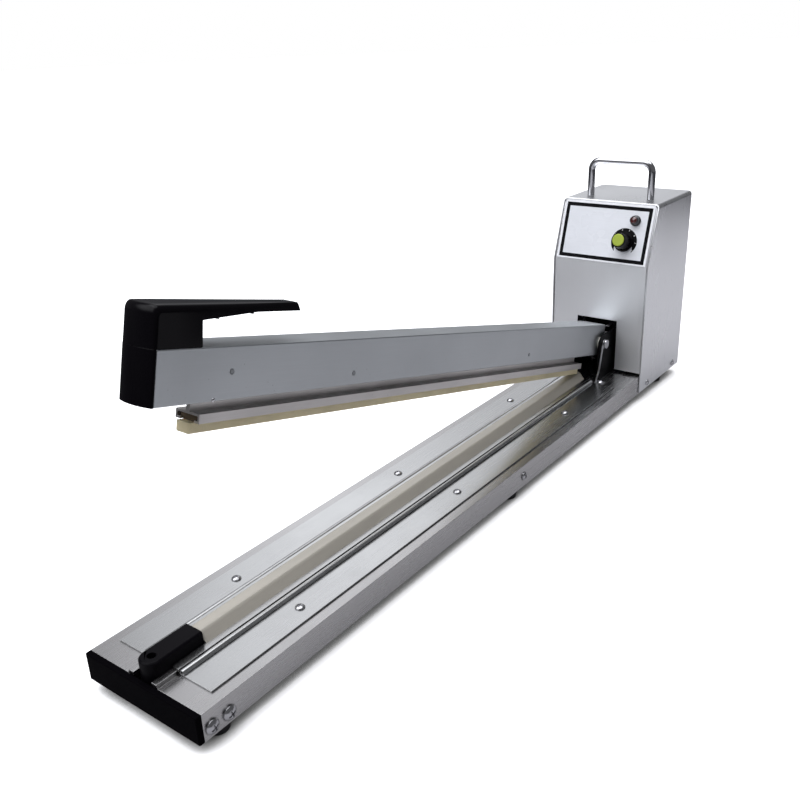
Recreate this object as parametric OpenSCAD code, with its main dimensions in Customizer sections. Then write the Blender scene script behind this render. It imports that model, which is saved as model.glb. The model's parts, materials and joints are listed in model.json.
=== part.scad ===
// Long arm impulse sealer for plastic bags, shown with its arm standing open.
// Millimetres, +Z up, the operator's end at -Y and the housing at +Y.
// The origin lies on the table, under the middle of the whole object.

/* [Base] */
// Width of the aluminium base
base_w = 100; // [94:1:110]
// Height of the aluminium base
base_h = 19.5; // [17:0.5:24]
// Wall of the aluminium base
base_wall = 2; // [1.6:0.1:2.4]
// Width of the open channel along the middle of the base
channel_w = 16.2; // [15.4:0.2:18]
// Width of the raised rib on each side of the channel
rib_w = 4.4; // [3.6:0.1:5]
// Height of the raised rib above the base
rib_h = 2.5; // [2:0.1:3]
// Width of the groove beside each rib
groove_w = 1.2; // [0.8:0.1:1.5]
// Depth of the groove beside each rib
groove_d = 0.8; // [0.4:0.1:1.2]
// Width of the inward flange along the bottom of each side
flange_w = 20; // [18:0.5:24]
// Radius of the screw bosses inside the base
boss_r = 3.2; // [2.8:0.1:3.4]
// Distance of the screw bosses from the middle
boss_x = 36; // [35:0.5:38]

/* [Feet and end cap] */
// Height of the rubber feet
foot_h = 8; // [6:0.5:10]
// Radius of the rubber feet
foot_r = 8; // [6.5:0.5:8.5]
// Distance from the side of the base to a foot
foot_inset = 2.5; // [2:0.5:4]
// Distance of the front feet from the front of the base
foot_front = 18; // [14:1:20]
// Distance of the middle feet from the front of the base
foot_mid = 348; // [300:1:400]
// Distance of the rear feet from the rear of the housing
foot_rear = 40; // [24:1:50]
// Thickness of the front end cap
cap_t = 4; // [3:0.5:6]
// Chamfer of the front end cap
cap_chamfer = 0.5; // [0.3:0.1:1.5]
// Length of the plugs of the front end cap
cap_plug = 25; // [24:1:32]

/* [Clamp strips] */
// Thickness of the clamp strips
strip_t = 1.2; // [1:0.1:1.5]
// Distance from the outer edge of a clamp strip to the side of the base
strip_edge = 8.5; // [6:0.5:12]
// Distance from the front of the base to the clamp strips
strip_front = 15.6; // [12:0.2:22]
// Radius of the rolled bead of the clamp strips
bead_r = 2.1; // [1.8:0.1:2.3]
// Distance of the clamp screws from the middle
clamp_screw_x = 29.4; // [26:0.2:30.6]
// Distance of the first clamp screw from the front end of its strip
clamp_screw_first = 87; // [60:1:100]
// Spacing of the clamp screws
clamp_screw_pitch = 184; // [150:1:190]
// Head diameter of the clamp screws
clamp_head_d = 6.4; // [5.5:0.1:7]

/* [Sealing bed] */
// Length of the sealing bed
bed_len = 512; // [480:1:560]
// Width of the bed bar
bed_w = 8; // [7:0.2:9]
// Height of the bed bar above the base
bed_rise = 10; // [9:0.2:12]
// Height of the foot of the bed bar
bar_foot_h = 3; // [2:0.5:4]
// Thickness of the insulating tape
tape_t = 0.3; // [0.2:0.1:0.4]
// Thickness of the heating ribbon
ribbon_t = 0.2; // [0.1:0.1:0.3]
// Width of the heating ribbon
ribbon_w = 5; // [3:0.5:6]
// Thickness of the coated cloth
cloth_t = 0.3; // [0.2:0.05:0.4]

/* [Terminals] */
// Length of the front terminal cover
cover_len = 40; // [38:1:48]
// Wall of the terminal covers
cover_wall = 1.3; // [1:0.1:1.5]
// Height of the front terminal cover above the bed
cover_over = 1.6; // [1.5:0.1:2.4]
// Bevel along the top of the front terminal cover
cover_bevel = 1.2; // [0.6:0.1:1.2]
// Length of the rear terminal cover
rear_cover_len = 15; // [14:0.5:18]
// Length of the brass terminals
terminal_len = 10; // [8:0.5:11]
// Height of the brass terminals
terminal_h = 13.5; // [11:0.5:14]
// Width of the brass terminals
terminal_w = 11; // [9:0.5:11.5]
// Travel of the front terminal as the ribbon grows warm
terminal_travel = 1.5; // [1:0.1:2]

/* [Arm] */
// Width of the arm tube
arm_w = 27.2; // [25:0.2:29]
// Height of the arm tube
arm_h = 31.4; // [30:0.1:33]
// Wall of the arm tube
arm_wall = 1.5; // [1.3:0.1:1.8]
// Corner radius of the arm tube
arm_corner = 1; // [0.8:0.1:2.5]
// Height of the hinge pin above the base
pivot_rise = 36.5; // [36:0.25:38]
// Height of the top of the arm above the hinge pin
arm_over = 18.8; // [18.4:0.1:19.5]
// Length of the arm tube behind the hinge pin
arm_tail_len = 8; // [7:0.5:9]
// Distance from the front of the closed arm to the front of the base
arm_setback = 12; // [8:0.5:20]
// Angle at which the arm stands open
open_angle = 14.4; // [12:0.1:15]
// Diameter of the hinge pin
pin_d = 6; // [5:0.5:6.5]
// Radial running clearance of the hinge pin
pin_clear = 0.05; // [0.03:0.01:0.08]

/* [Handle] */
// Height of the grip above the arm at its front
grip_h = 23.6; // [22:0.1:24.5]
// Height of the grip above the arm at its tip
grip_tip_h = 24.9; // [24.6:0.1:28]
// Thickness of the grip at its tip
grip_tip_t = 5.5; // [5:0.1:5.8]
// Length of the grip block along the arm
grip_block = 31; // [29:0.5:40]
// Length of the free tail of the grip
grip_tail = 76; // [66:1:90]
// Height of the finger gap where the grip leaves its block
grip_gap = 14.8; // [13:0.2:16]
// Distance from the grip block to the bend under the tail
grip_bend = 43.5; // [36:0.5:56]
// Height of the finger gap at the bend under the tail
grip_bend_h = 18.9; // [17:0.1:19]
// Wall of the moulded grip
grip_wall = 2.6; // [2.2:0.1:3]
// Radius along the top edges of the grip
grip_round = 1.3; // [1:0.1:3.2]
// Radius at the top of the front of the grip
grip_front_r = 4.5; // [3:0.5:8]
// Thickness of the end cap of the arm at its middle
end_cap_t = 4.4; // [3.6:0.1:5.5]

/* [Press bar] */
// Width of the press bar holder
holder_w = 20; // [18:0.2:22]
// Height of the press bar holder
holder_h = 5.6; // [5:0.1:6.4]
// Wall of the press bar holder
holder_wall = 1.4; // [1:0.1:1.5]
// Gap between the arm and the press bar holder
bar_gap = 7.6; // [7:0.1:8.4]
// Thickness of the web that carries the press bar
web_t = 3; // [2:0.1:4]
// Width of the silicone strip
silicone_w = 11; // [9:0.2:12]
// Height of the silicone strip below its holder
silicone_drop = 6.6; // [6.2:0.1:7.2]
// Length of silicone beyond each end of its holder
silicone_over = 3; // [1:0.5:4]
// Diameter of the guide posts
post_d = 5; // [4:0.5:5]

/* [Housing] */
// Depth of the housing
housing_depth = 107; // [100:1:125]
// Height of the housing above the base
housing_h = 174; // [168:1:200]
// Thickness of the housing sheets
sheet_t = 1.4; // [1:0.1:1.6]
// Radius of the bends along the top of the housing
housing_bend = 4; // [3:0.5:8]
// Distance from the hinge pin to the front of the housing
housing_setback = 19.5; // [19:0.5:24]
// Height of the slanted part of the front
slant_h = 59.7; // [57:0.1:66]
// Tilt of the slanted part from the vertical
panel_tilt = 18; // [12:0.5:22]
// Width of the opening for the arm
notch_w = 44; // [43:0.5:50]
// Height of the top of the opening above the base
notch_h = 55.5; // [54:0.5:60]
// Gap below the front panel
panel_lift = 2.9; // [2.5:0.1:4]
// Side gap of the front panel
panel_gap = 0.4; // [0.4:0.1:1]

/* [Controls] */
// Width of the label plate
label_w = 97; // [90:1:98]
// Height of the label plate
label_h = 59; // [56:0.5:60]
// Thickness of the label plate
label_t = 0.8; // [0.5:0.1:1]
// Distance of the timer knob from the middle
knob_x = 22; // [18:0.5:26]
// Height of the timer knob up the slanted panel
knob_s = 23.5; // [20:0.5:26]
// Diameter of the timer knob at its skirt
knob_d = 20; // [18:0.5:22]
// Height of the timer knob
knob_h = 15.2; // [14:0.2:18]
// Diameter of the coloured cap of the knob
knob_cap_d = 12; // [11:0.1:13]
// Distance of the lamp from the middle
lamp_x = 30.3; // [26:0.1:34]
// Height of the lamp up the slanted panel
lamp_s = 45; // [42:0.5:48]
// Diameter of the lamp bezel
lamp_d = 10.8; // [9.8:0.1:12]

/* [Carrying handle] */
// Spacing of the legs of the carrying handle
carry_span = 65; // [58:1:75]
// Height of the carrying handle above the housing
carry_h = 39; // [32:1:50]
// Diameter of the carrying handle rod
carry_d = 7; // [6:0.5:8]
// Bend radius of the carrying handle at the middle of the rod
carry_bend = 9.5; // [8:0.5:14]
// Distance of the carrying handle from the front of the housing
carry_back = 42.5; // [34:0.5:60]

/* [Transformer] */
// Width of the transformer core
core_w = 60; // [52:1:62]
// Height of the transformer core
core_h = 55; // [50:1:60]
// Thickness of the stack of the transformer core
core_t = 28; // [24:1:32]

/* [Hidden] */
$fn = 48;

// Clearances and small fits
seat = 0.3;
seal_clear = 0.3;
fit = 0.1;
skin = 0.05;
cut = 1;

// Heights
base_top = foot_h + base_h;
floor_z = foot_h + base_wall;
rib_top = base_top + rib_h;
bar_top = base_top + bed_rise;
tape_top = bar_top + tape_t;
ribbon_top = tape_top + ribbon_t;
bed_top = ribbon_top + cloth_t;
cover_top = bed_top + cover_over;
pivot_z = base_top + pivot_rise;
housing_top = base_top + housing_h;

// Stations along the length, measured from the front of the base
nose_gap = 0.7;
nose_r = channel_w/2 - seat;
nose_y = nose_gap + nose_r;
bed_y0 = nose_gap + cover_len;
bed_y1 = bed_y0 + bed_len;
bar_reach = 3;
rear_cover_y0 = bed_y1 + seat;
rear_cover_y1 = rear_cover_y0 + rear_cover_len;
bracket_y0 = rear_cover_y1 + seat;
cheek_r = 9;
pivot_y = bracket_y0 + cheek_r;
housing_y0 = pivot_y + housing_setback;
housing_y1 = housing_y0 + housing_depth;
panel_inset = 0.6;
panel_y = housing_y0 + panel_inset;
rear_face = housing_y1 - panel_inset;
base_len = rear_face - sheet_t - seat;
gland_out = 9;
y_mid = (rear_face + gland_out - cap_t)/2;

// Arm frame: d runs forward from the hinge pin, h runs up from it, with the arm closed
arm_d1 = pivot_y - arm_setback;
arm_bottom = arm_over - arm_h;
arm_middle = arm_over - arm_h/2;
holder_top = arm_bottom - bar_gap;
holder_bottom = holder_top - holder_h;
silicone_bottom = holder_bottom - silicone_drop;
silicone_d0 = 26;
silicone_d1 = pivot_y - bed_y0 - 3.5;
holder_d0 = silicone_d0 + silicone_over;
holder_d1 = silicone_d1 - silicone_over;
bar_travel = bed_top + seal_clear - (pivot_z + silicone_bottom);

// Hinge bracket
cheek_t = 2.5;
bush_flange_t = 1.9;
cheek_x = arm_w/2 + bush_flange_t + seat;
cheek_out = cheek_x + cheek_t;
bracket_len = 71;
bracket_y1 = bracket_y0 + bracket_len;
bracket_floor_t = 2;
bracket_foot_w = 16;
bracket_foot_y0 = housing_y0 + 2.5;
switch_top = pivot_z + 29;
strap_t = 0.8;
strap_w = 2.6;
bush_d = pin_d + 3;
bush_flange_d = bush_d + 3;

// Side screws
cap_screw_y = [6.1, 19.1];
cap_screw_z = foot_h + 7.3;
mid_screw_y = 357;
mid_screw_z = foot_h + base_h/2;
housing_screw_in = 18.5;
housing_screw_z = foot_h + 7.6;
housing_drop = 1.8;
screw_d = 3.6;
clamp_screw_d = 3;

// Slanted panel
bend_z = housing_top - slant_h;
cover_half = base_w/2 + seat + sheet_t;
inner_half = base_w/2 + seat;
slant_len = (slant_h - sheet_t - fit)/cos(panel_tilt);

// Moves a piece from the front edge of the base to the middle of the object
module place() {
    translate([0, -y_mid, 0]) children();
}

// Sets a piece drawn in the arm frame of the closed arm into the open position
module on_arm() {
    translate([0, pivot_y - y_mid, pivot_z]) rotate([-open_angle, 0, 0]) children();
}

// Sets a piece on the slanted panel, with z straight out of the panel
module on_panel(x, s, out) {
    translate([0, panel_y - y_mid, bend_z]) rotate([90 - panel_tilt, 0, 0])
        translate([x, s, out]) children();
}

// Extrudes an outline of x and z along the length
module along_y(y0, y1) {
    translate([0, y1, 0]) rotate([90, 0, 0]) linear_extrude(y1 - y0) children();
}

// Extrudes an outline of y and z across the width
module across(x0, x1) {
    translate([x0, 0, 0]) rotate([90, 0, 90]) linear_extrude(x1 - x0) children();
}

// Draws a piece on the right and its mirror image on the left
module both_sides() {
    children();
    mirror([1, 0, 0]) children();
}

// A block given by its lowest and highest corners
module block(low, high) {
    translate(low) cube(high - low);
}

// Cylinder lying across the width
module rod_x(x0, x1, d) {
    translate([x0, 0, 0]) rotate([0, 90, 0]) cylinder(h = x1 - x0, d = d);
}

// Rectangle with rounded corners, made of true arcs
module round_rect(w, h, r) {
    translate([-w/2 + r, -h/2]) square([w - 2*r, h]);
    translate([-w/2, -h/2 + r]) square([w, h - 2*r]);
    for (x = [-1, 1], y = [-1, 1]) translate([x*(w/2 - r), y*(h/2 - r)]) circle(r);
}

// Screw standing along z: seat at z = 0, shank below it, cross recess in its head
module pan_screw(shank_d, head_d, head_h, length) {
    rim = head_h*0.35;
    dome = head_h - rim;
    dome_r = (head_d*head_d/4 + dome*dome)/(2*dome);
    slot_w = head_d*0.14;
    slot_l = head_d*0.56;
    difference() {
        union() {
            intersection() {
                cylinder(h = head_h, d = head_d);
                translate([0, 0, head_h - dome_r]) sphere(dome_r);
            }
            translate([0, 0, -length]) cylinder(h = length + rim, d = shank_d);
        }
        for (a = [0, 90]) rotate(a)
            translate([-slot_l/2, -slot_w/2, head_h*0.45]) cube([slot_l, slot_w, head_h]);
    }
}

// Wire wound along z, as one closed skin
module coil(mean_r, wire_r, height, turns) {
    sides = 6;
    steps = 14;
    rings = turns*steps;
    points = [
        for (i = [0 : rings], j = [0 : sides - 1])
            let (a = 360*i/steps, b = 360*j/sides, r = mean_r + wire_r*cos(b))
            [r*cos(a), r*sin(a), wire_r*sin(b) + (height - 2*wire_r)*i/rings + wire_r]
    ];
    walls = [
        for (i = [0 : rings - 1], j = [0 : sides - 1])
            let (k = (j + 1) % sides)
            [i*sides + j, i*sides + k, (i + 1)*sides + k, (i + 1)*sides + j]
    ];
    first = [for (j = [sides - 1 : -1 : 0]) j];
    last = [for (j = [0 : sides - 1]) rings*sides + j];
    polyhedron(points, concat(walls, [first], [last]), convexity = 8);
}

// Base

foot_x = base_w/2 - foot_inset - foot_r;
foot_spots = [
    for (s = [-1, 1], y = [foot_front, foot_mid, housing_y1 - foot_rear]) [s*foot_x, y]
];
strip_y1 = bed_y1 + 1;
clamp_spots = [
    for (s = [-1, 1], i = [0 : 2])
        [s*clamp_screw_x, strip_front + clamp_screw_first + i*clamp_screw_pitch]
];
side_spots = [
    [cap_screw_y[0], cap_screw_z], [cap_screw_y[1], cap_screw_z], [mid_screw_y, mid_screw_z]
];
cover_spots = [housing_y0 + housing_screw_in, housing_y1 - housing_screw_in];

module base_half_profile() {
    half = base_w/2;
    gap = channel_w/2;
    difference() {
        union() {
            translate([gap, base_h - base_wall]) square([half - gap, base_wall]);
            translate([half - base_wall, 0]) square([base_wall, base_h]);
            translate([half - flange_w, 0]) square([flange_w, base_wall]);
            translate([gap, 0]) square([base_wall, base_h]);
            translate([gap, base_h - base_wall]) square([rib_w, base_wall + rib_h]);
            translate([0, 0]) square([gap + base_wall, base_wall]);
            translate([boss_x, base_h - base_wall - boss_r + fit]) circle(boss_r);
        }
        translate([gap + rib_w, base_h - groove_d]) square([groove_w, rib_h]);
        translate([boss_x, base_h - base_wall - boss_r + fit]) circle(screw_d/2 + skin);
    }
}

// Extruded base with a channel, two ribs and a flange under each side
module base_extrusion() {
    color([0.66, 0.67, 0.68]) place() difference() {
        translate([0, 0, foot_h]) along_y(0, base_len) both_sides() base_half_profile();
        for (p = foot_spots) translate([p[0], p[1], foot_h - cut])
            cylinder(h = base_wall + 2*cut, d = screw_d + fit);
        for (p = clamp_spots) translate([p[0], p[1], base_top - base_wall - cut])
            cylinder(h = base_wall + 2*cut, d = clamp_screw_d + fit);
        for (p = side_spots) translate([0, p[0], p[1]])
            both_sides() rod_x(base_w/2 - base_wall - cut, base_w/2 + cut, screw_d + fit);
        for (y = cover_spots) translate([0, y, housing_screw_z])
            both_sides() rod_x(base_w/2 - base_wall - cut, base_w/2 + cut, screw_d + fit);
        for (p = bracket_spots) translate([p[0], p[1], base_top - base_wall - cut])
            cylinder(h = base_wall + 2*cut, d = screw_d + fit);
        translate([0, nose_y, foot_h - cut]) cylinder(h = base_wall + 2*cut, d = screw_d + fit);
    }
}

// Moulded end cap with two plugs that the side screws hold
module base_end_cap() {
    half = base_w/2;
    plug_x0 = channel_w/2 + base_wall + seat;
    plug_x1 = half - base_wall - seat;
    boss_z = base_top - base_wall - boss_r + fit;
    color([0.07, 0.07, 0.08]) place() {
        intersection() {
            across(-half, half) polygon([
                [0, foot_h], [0, base_top], [-cap_t + cap_chamfer, base_top],
                [-cap_t, base_top - cap_chamfer], [-cap_t, foot_h + cap_chamfer],
                [-cap_t + cap_chamfer, foot_h]
            ]);
            translate([0, 0, foot_h]) linear_extrude(base_h) polygon([
                [-half, 0], [half, 0], [half, -cap_t + cap_chamfer],
                [half - cap_chamfer, -cap_t], [-half + cap_chamfer, -cap_t],
                [-half, -cap_t + cap_chamfer]
            ]);
        }
        both_sides() difference() {
            block([plug_x0, -cut, floor_z + seat],
                  [plug_x1, cap_plug, base_top - base_wall - seat]);
            translate([boss_x, cap_plug/2, boss_z]) rotate([90, 0, 0])
                cylinder(h = cap_plug + 4*cut, r = boss_r + seat, center = true);
            block([boss_x - boss_r, 0, boss_z], [boss_x + boss_r, cap_plug + cut, base_top]);
            for (y = cap_screw_y) translate([0, y, cap_screw_z])
                rod_x(plug_x1 - 10, plug_x1 + cut, screw_d + fit);
            translate([foot_x, foot_front, floor_z])
                cylinder(h = 5, d = screw_d + fit);
        }
    }
}

foot_bore_d = 8.6;
foot_sink = 4;

// Six moulded feet, each with a sunk screw hole
module rubber_feet() {
    color([0.09, 0.09, 0.09]) place() for (p = foot_spots) translate([p[0], p[1], 0])
        difference() {
            cylinder(h = foot_h, r1 = foot_r - 0.8, r2 = foot_r);
            translate([0, 0, -cut]) cylinder(h = foot_sink + cut, d = foot_bore_d);
            translate([0, 0, -cut]) cylinder(h = foot_h + 2*cut, d = screw_d + fit);
        }
}

// Screws that hold the feet to the flanges
module foot_screws() {
    color([0.7, 0.7, 0.72]) place() for (p = foot_spots) translate([p[0], p[1], foot_sink])
        mirror([0, 0, 1]) pan_screw(screw_d, 7, 2.2, foot_h - foot_sink + base_wall + 2);
}

// Screws in the sides of the base: four for the end cap and two at mid length
module base_side_screws() {
    color([0.78, 0.78, 0.8]) place() both_sides() {
        for (y = cap_screw_y) translate([base_w/2, y, cap_screw_z])
            rotate([0, 90, 0]) rotate(20) pan_screw(screw_d, 9.4, 3.4, 11);
        translate([base_w/2, mid_screw_y, mid_screw_z])
            rotate([0, 90, 0]) rotate(40) pan_screw(screw_d, 7, 2.4, 6);
    }
}

// Clamp strips

lip_x = channel_w/2 + seat;
bead_x = channel_w/2 + rib_w + groove_w + seat + bead_r;

// Front view of the right strip: lip over the rib, dip, rolled bead, flat
module strip_profile() {
    lip_z = rib_h + cloth_t + skin;
    dip_x = channel_w/2 + rib_w + seat;
    dip_z = lip_z - strip_t*0.9;
    flat_x = base_w/2 - strip_edge;
    difference() {
        union() {
            translate([lip_x, lip_z]) square([dip_x + strip_t - lip_x, strip_t]);
            translate([dip_x, dip_z]) square([strip_t, lip_z + strip_t - dip_z]);
            translate([dip_x, dip_z]) square([bead_x - dip_x, strip_t]);
            translate([bead_x, bead_r]) circle(bead_r);
            translate([bead_x, 0]) square([flat_x - bead_x, strip_t]);
        }
        translate([bead_x, bead_r]) circle(bead_r*0.42);
    }
}

module strip_right() {
    difference() {
        translate([0, 0, base_top]) along_y(strip_front, strip_y1) strip_profile();
        for (p = clamp_spots) translate([p[0], p[1], base_top - cut])
            cylinder(h = strip_t + 2*cut, d = clamp_screw_d + fit);
    }
}

// Strip that holds the cloth on the left
module clamp_strip_left() {
    color([0.7, 0.72, 0.72]) place() mirror([1, 0, 0]) strip_right();
}

// Strip that holds the cloth on the right
module clamp_strip_right() {
    color([0.7, 0.72, 0.72]) place() strip_right();
}

// Six screws through the clamp strips
module clamp_screws() {
    color([0.75, 0.75, 0.77]) place() for (p = clamp_spots)
        translate([p[0], p[1], base_top + strip_t]) rotate(p[1])
            pan_screw(clamp_screw_d, clamp_head_d, 2.2, strip_t + base_wall + 1.5);
}

// Sealing bed

// T shaped bar that stands in the channel and carries the ribbon
module bed_bar() {
    foot_half = channel_w/2 - 2*seat;
    color([0.35, 0.33, 0.3]) place() {
        block([-bed_w/2, bed_y0 - bar_reach, floor_z], [bed_w/2, bed_y1, bar_top]);
        block([-foot_half, bed_y0 + seat, floor_z], [foot_half, bed_y1, floor_z + bar_foot_h]);
    }
}

// Heat proof tape between the bar and the ribbon
module insulation_tape() {
    color([0.75, 0.68, 0.5]) place()
        block([-bed_w/2, bed_y0 - bar_reach, bar_top], [bed_w/2, bed_y1, tape_top]);
}

term_z0 = floor_z + seat;
term_z1 = term_z0 + terminal_h;
front_term_y1 = bed_y0 - bar_reach - 11;
front_term_y0 = front_term_y1 - terminal_len;
rear_term_y0 = rear_cover_y0 + 2;
rear_term_y1 = rear_term_y0 + terminal_len;

// Resistance ribbon over the bar, running down to a terminal at each end
module heating_ribbon() {
    y0 = bed_y0 - bar_reach;
    ramp = 1.2;
    drop_y = bed_y1 + skin/2;
    drop_z = bar_top - 3;
    lower = [
        [front_term_y0 + 1, term_z1], [front_term_y1 - 2, term_z1], [y0 - ramp, tape_top],
        [drop_y, tape_top], [drop_y, drop_z], [rear_term_y0 + 3, term_z1],
        [rear_term_y1 - 1, term_z1]
    ];
    upper = [
        [rear_term_y1 - 1, term_z1 + ribbon_t], [rear_term_y0 + 3 + ribbon_t, term_z1 + ribbon_t],
        [drop_y + ribbon_t, drop_z + ribbon_t], [drop_y + ribbon_t, ribbon_top],
        [y0 - ramp - ribbon_t/2, ribbon_top], [front_term_y1 - 2 - ribbon_t, term_z1 + ribbon_t],
        [front_term_y0 + 1, term_z1 + ribbon_t]
    ];
    color([0.6, 0.6, 0.6]) place() across(-ribbon_w/2, ribbon_w/2)
        polygon(concat(lower, upper));
}

// Coated glass cloth, laid over the bed like a tent and held under the lips
module ptfe_cloth() {
    hold_x = channel_w/2 + rib_w*0.8;
    foot_in = channel_w/2;
    ridge = bed_w/2 + skin;
    inner = [[hold_x, rib_top], [foot_in, rib_top], [ridge, ribbon_top]];
    outer = [
        [ridge + cloth_t*0.9, bed_top], [foot_in + cloth_t, rib_top + cloth_t],
        [hold_x, rib_top + cloth_t]
    ];
    left_inner = [[-ridge, ribbon_top], [-foot_in, rib_top], [-hold_x, rib_top]];
    left_outer = [
        [-hold_x, rib_top + cloth_t], [-foot_in - cloth_t, rib_top + cloth_t],
        [-ridge - cloth_t*0.9, bed_top]
    ];
    color([0.62, 0.59, 0.53]) place() along_y(bed_y0 + seat, bed_y1)
        polygon(concat(inner, left_inner, left_outer, outer));
}

// Terminals

// Round nosed cover over the front terminal, with a sunk screw hole
module front_terminal_cover() {
    low = floor_z + seat;
    high = cover_top - cover_bevel;
    inside = nose_r - cover_wall;
    color([0.07, 0.07, 0.08]) place() difference() {
        union() {
            translate([0, nose_y, low]) cylinder(h = high - low, r = nose_r);
            translate([0, nose_y, high])
                cylinder(h = cover_bevel, r1 = nose_r, r2 = nose_r - cover_bevel);
            along_y(nose_y, bed_y0) polygon([
                [-nose_r, low], [nose_r, low], [nose_r, high], [nose_r - cover_bevel, cover_top],
                [-nose_r + cover_bevel, cover_top], [-nose_r, high]
            ]);
        }
        block([-inside, nose_y + 5.5, low - cut], [inside, bed_y0 + cut, cover_top - cover_wall]);
        translate([0, nose_y, cover_top - 9]) cylinder(h = 10, d = 5.6);
        translate([0, nose_y, low - cut]) cylinder(h = cover_top, d = screw_d + fit);
    }
}

// Screw that holds the front terminal cover down in the channel
module cover_screw() {
    color([0.6, 0.6, 0.62]) place() translate([0, nose_y, cover_top - 9])
        pan_screw(screw_d, 5.2, 2, cover_top - 9 - foot_h);
}

module terminal_block(y0, y1) {
    difference() {
        block([-terminal_w/2, y0, term_z0], [terminal_w/2, y1, term_z1]);
        translate([0, (y0 + y1)/2, term_z1 - 5]) rotate([0, 90, 0])
            cylinder(h = terminal_w + cut, d = 3, center = true);
    }
}

// Brass block that slides to keep the ribbon tight
module front_terminal() {
    color([0.78, 0.62, 0.3]) place() terminal_block(front_term_y0, front_term_y1);
}

// Spring between the bed bar and the sliding terminal
module terminal_spring() {
    room = bed_y0 - bar_reach - front_term_y1 - 2*seat;
    color([0.6, 0.6, 0.62]) place()
        translate([0, front_term_y1 + seat, term_z0 + terminal_h/2]) rotate([-90, 0, 0])
            coil(2.8, 0.5, room, 5);
}

// Brass block that holds the rear end of the ribbon
module rear_terminal() {
    color([0.78, 0.62, 0.3]) place() terminal_block(rear_term_y0, rear_term_y1);
}

// Square cover over the rear terminal
module rear_terminal_cover() {
    low = floor_z + seat;
    high = bed_top - 1;
    inside = nose_r - cover_wall;
    color([0.07, 0.07, 0.08]) place() difference() {
        along_y(rear_cover_y0, rear_cover_y1) polygon([
            [-nose_r, low], [nose_r, low], [nose_r, high - cover_bevel],
            [nose_r - cover_bevel, high], [-nose_r + cover_bevel, high],
            [-nose_r, high - cover_bevel]
        ]);
        block([-inside, rear_cover_y0 - cut, low - cut],
              [inside, rear_cover_y1 - cover_wall, high - cover_wall]);
    }
}

// Hinge

bracket_screw_in = 9;
bracket_screw_pitch = 21;
bracket_screw_y = bracket_foot_y0 + bracket_screw_in;
strap_x0 = cheek_out + fit;
strap_foot_x = strap_x0 + 5;
strap_foot_y = bracket_y0 - 8;
bracket_spots = concat(
    [for (s = [-1, 1], i = [0, 1])
        [s*(cheek_out + bracket_foot_w/2), bracket_screw_y + i*bracket_screw_pitch]],
    [[strap_foot_x, strap_foot_y]]
);

// Side view of a cheek: round nose at the pin, a step up to the switch behind it
module cheek_outline() {
    tall_y = housing_y0 + 6;
    difference() {
        union() {
            translate([pivot_y, pivot_z]) circle(cheek_r);
            translate([bracket_y0, base_top]) square([2*cheek_r, pivot_z - base_top]);
            translate([pivot_y, base_top]) square([bracket_y1 - pivot_y, cheek_r + pivot_rise]);
            translate([tall_y, base_top]) square([bracket_y1 - tall_y, switch_top - base_top]);
        }
        translate([pivot_y, pivot_z]) circle(pin_d/2 + pin_clear);
    }
}

// Steel bracket: two cheeks, a floor over the ribs, a rear web and outward feet
module hinge_bracket() {
    color([0.05, 0.05, 0.055]) place() difference() {
        union() {
            both_sides() across(cheek_x, cheek_out) cheek_outline();
            block([-cheek_out, bracket_y0, rib_top],
                  [cheek_out, bracket_y1, rib_top + bracket_floor_t]);
            block([-cheek_out, bracket_y1 - bracket_floor_t, rib_top],
                  [cheek_out, bracket_y1, switch_top]);
            both_sides() block([cheek_x, bracket_foot_y0, base_top],
                [cheek_out + bracket_foot_w, bracket_y1, base_top + panel_lift]);
        }
        for (p = bracket_spots) translate([p[0], p[1], base_top - cut])
            cylinder(h = panel_lift + 2*cut, d = screw_d + fit);
        for (x = [-spring_x, spring_x]) translate([x, spring_y, rib_top - cut])
            cylinder(h = bracket_floor_t + 2*cut, d = 2.4);
        translate([0, switch_y0 + switch_len/2, switch_z0 + switch_tall/2])
            both_sides() rod_x(cheek_x - cut, cheek_out + cut, 3);
    }
}

// Screws of the bracket feet and of the strap
module bracket_screws() {
    color([0.72, 0.72, 0.74]) place() {
        for (i = [0 : 3]) translate([bracket_spots[i][0], bracket_spots[i][1],
                                     base_top + panel_lift + (i % 2 == 0 ? sheet_t : 0)])
            pan_screw(screw_d, 7, 2.4, panel_lift + base_wall + 2.4);
        translate([strap_foot_x, strap_foot_y, base_top + strap_t])
            pan_screw(screw_d, 6.4, 2, base_wall + strap_t + 1);
    }
}

pin_head_t = 2.2;
pin_x1 = strap_x0 + strap_t + fit;
pin_x0 = -cheek_out - 3;

// Pin of the arm, with a round head on the right and a ring groove on the left
module hinge_pin() {
    color([0.75, 0.75, 0.77]) place() translate([0, pivot_y, pivot_z]) difference() {
        union() {
            rod_x(pin_x0, pin_x1, pin_d);
            rod_x(pin_x1, pin_x1 + pin_head_t, pin_d + 3);
        }
        difference() {
            rod_x(-cheek_out - 1.6, -cheek_out - 0.6, pin_d + cut);
            rod_x(-cheek_out - 2, -cheek_out, pin_d - 1.4);
        }
    }
}

// Spring clip in the groove of the pin
module pin_clip() {
    color([0.4, 0.4, 0.42]) place() translate([0, pivot_y, pivot_z]) difference() {
        rod_x(-cheek_out - 1.5, -cheek_out - 0.7, pin_d + 4);
        rod_x(-cheek_out - 2, -cheek_out, pin_d - 1.2);
        block([-cheek_out - 2, -1.6, -pin_d], [-cheek_out, 1.6, 0]);
    }
}

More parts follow.
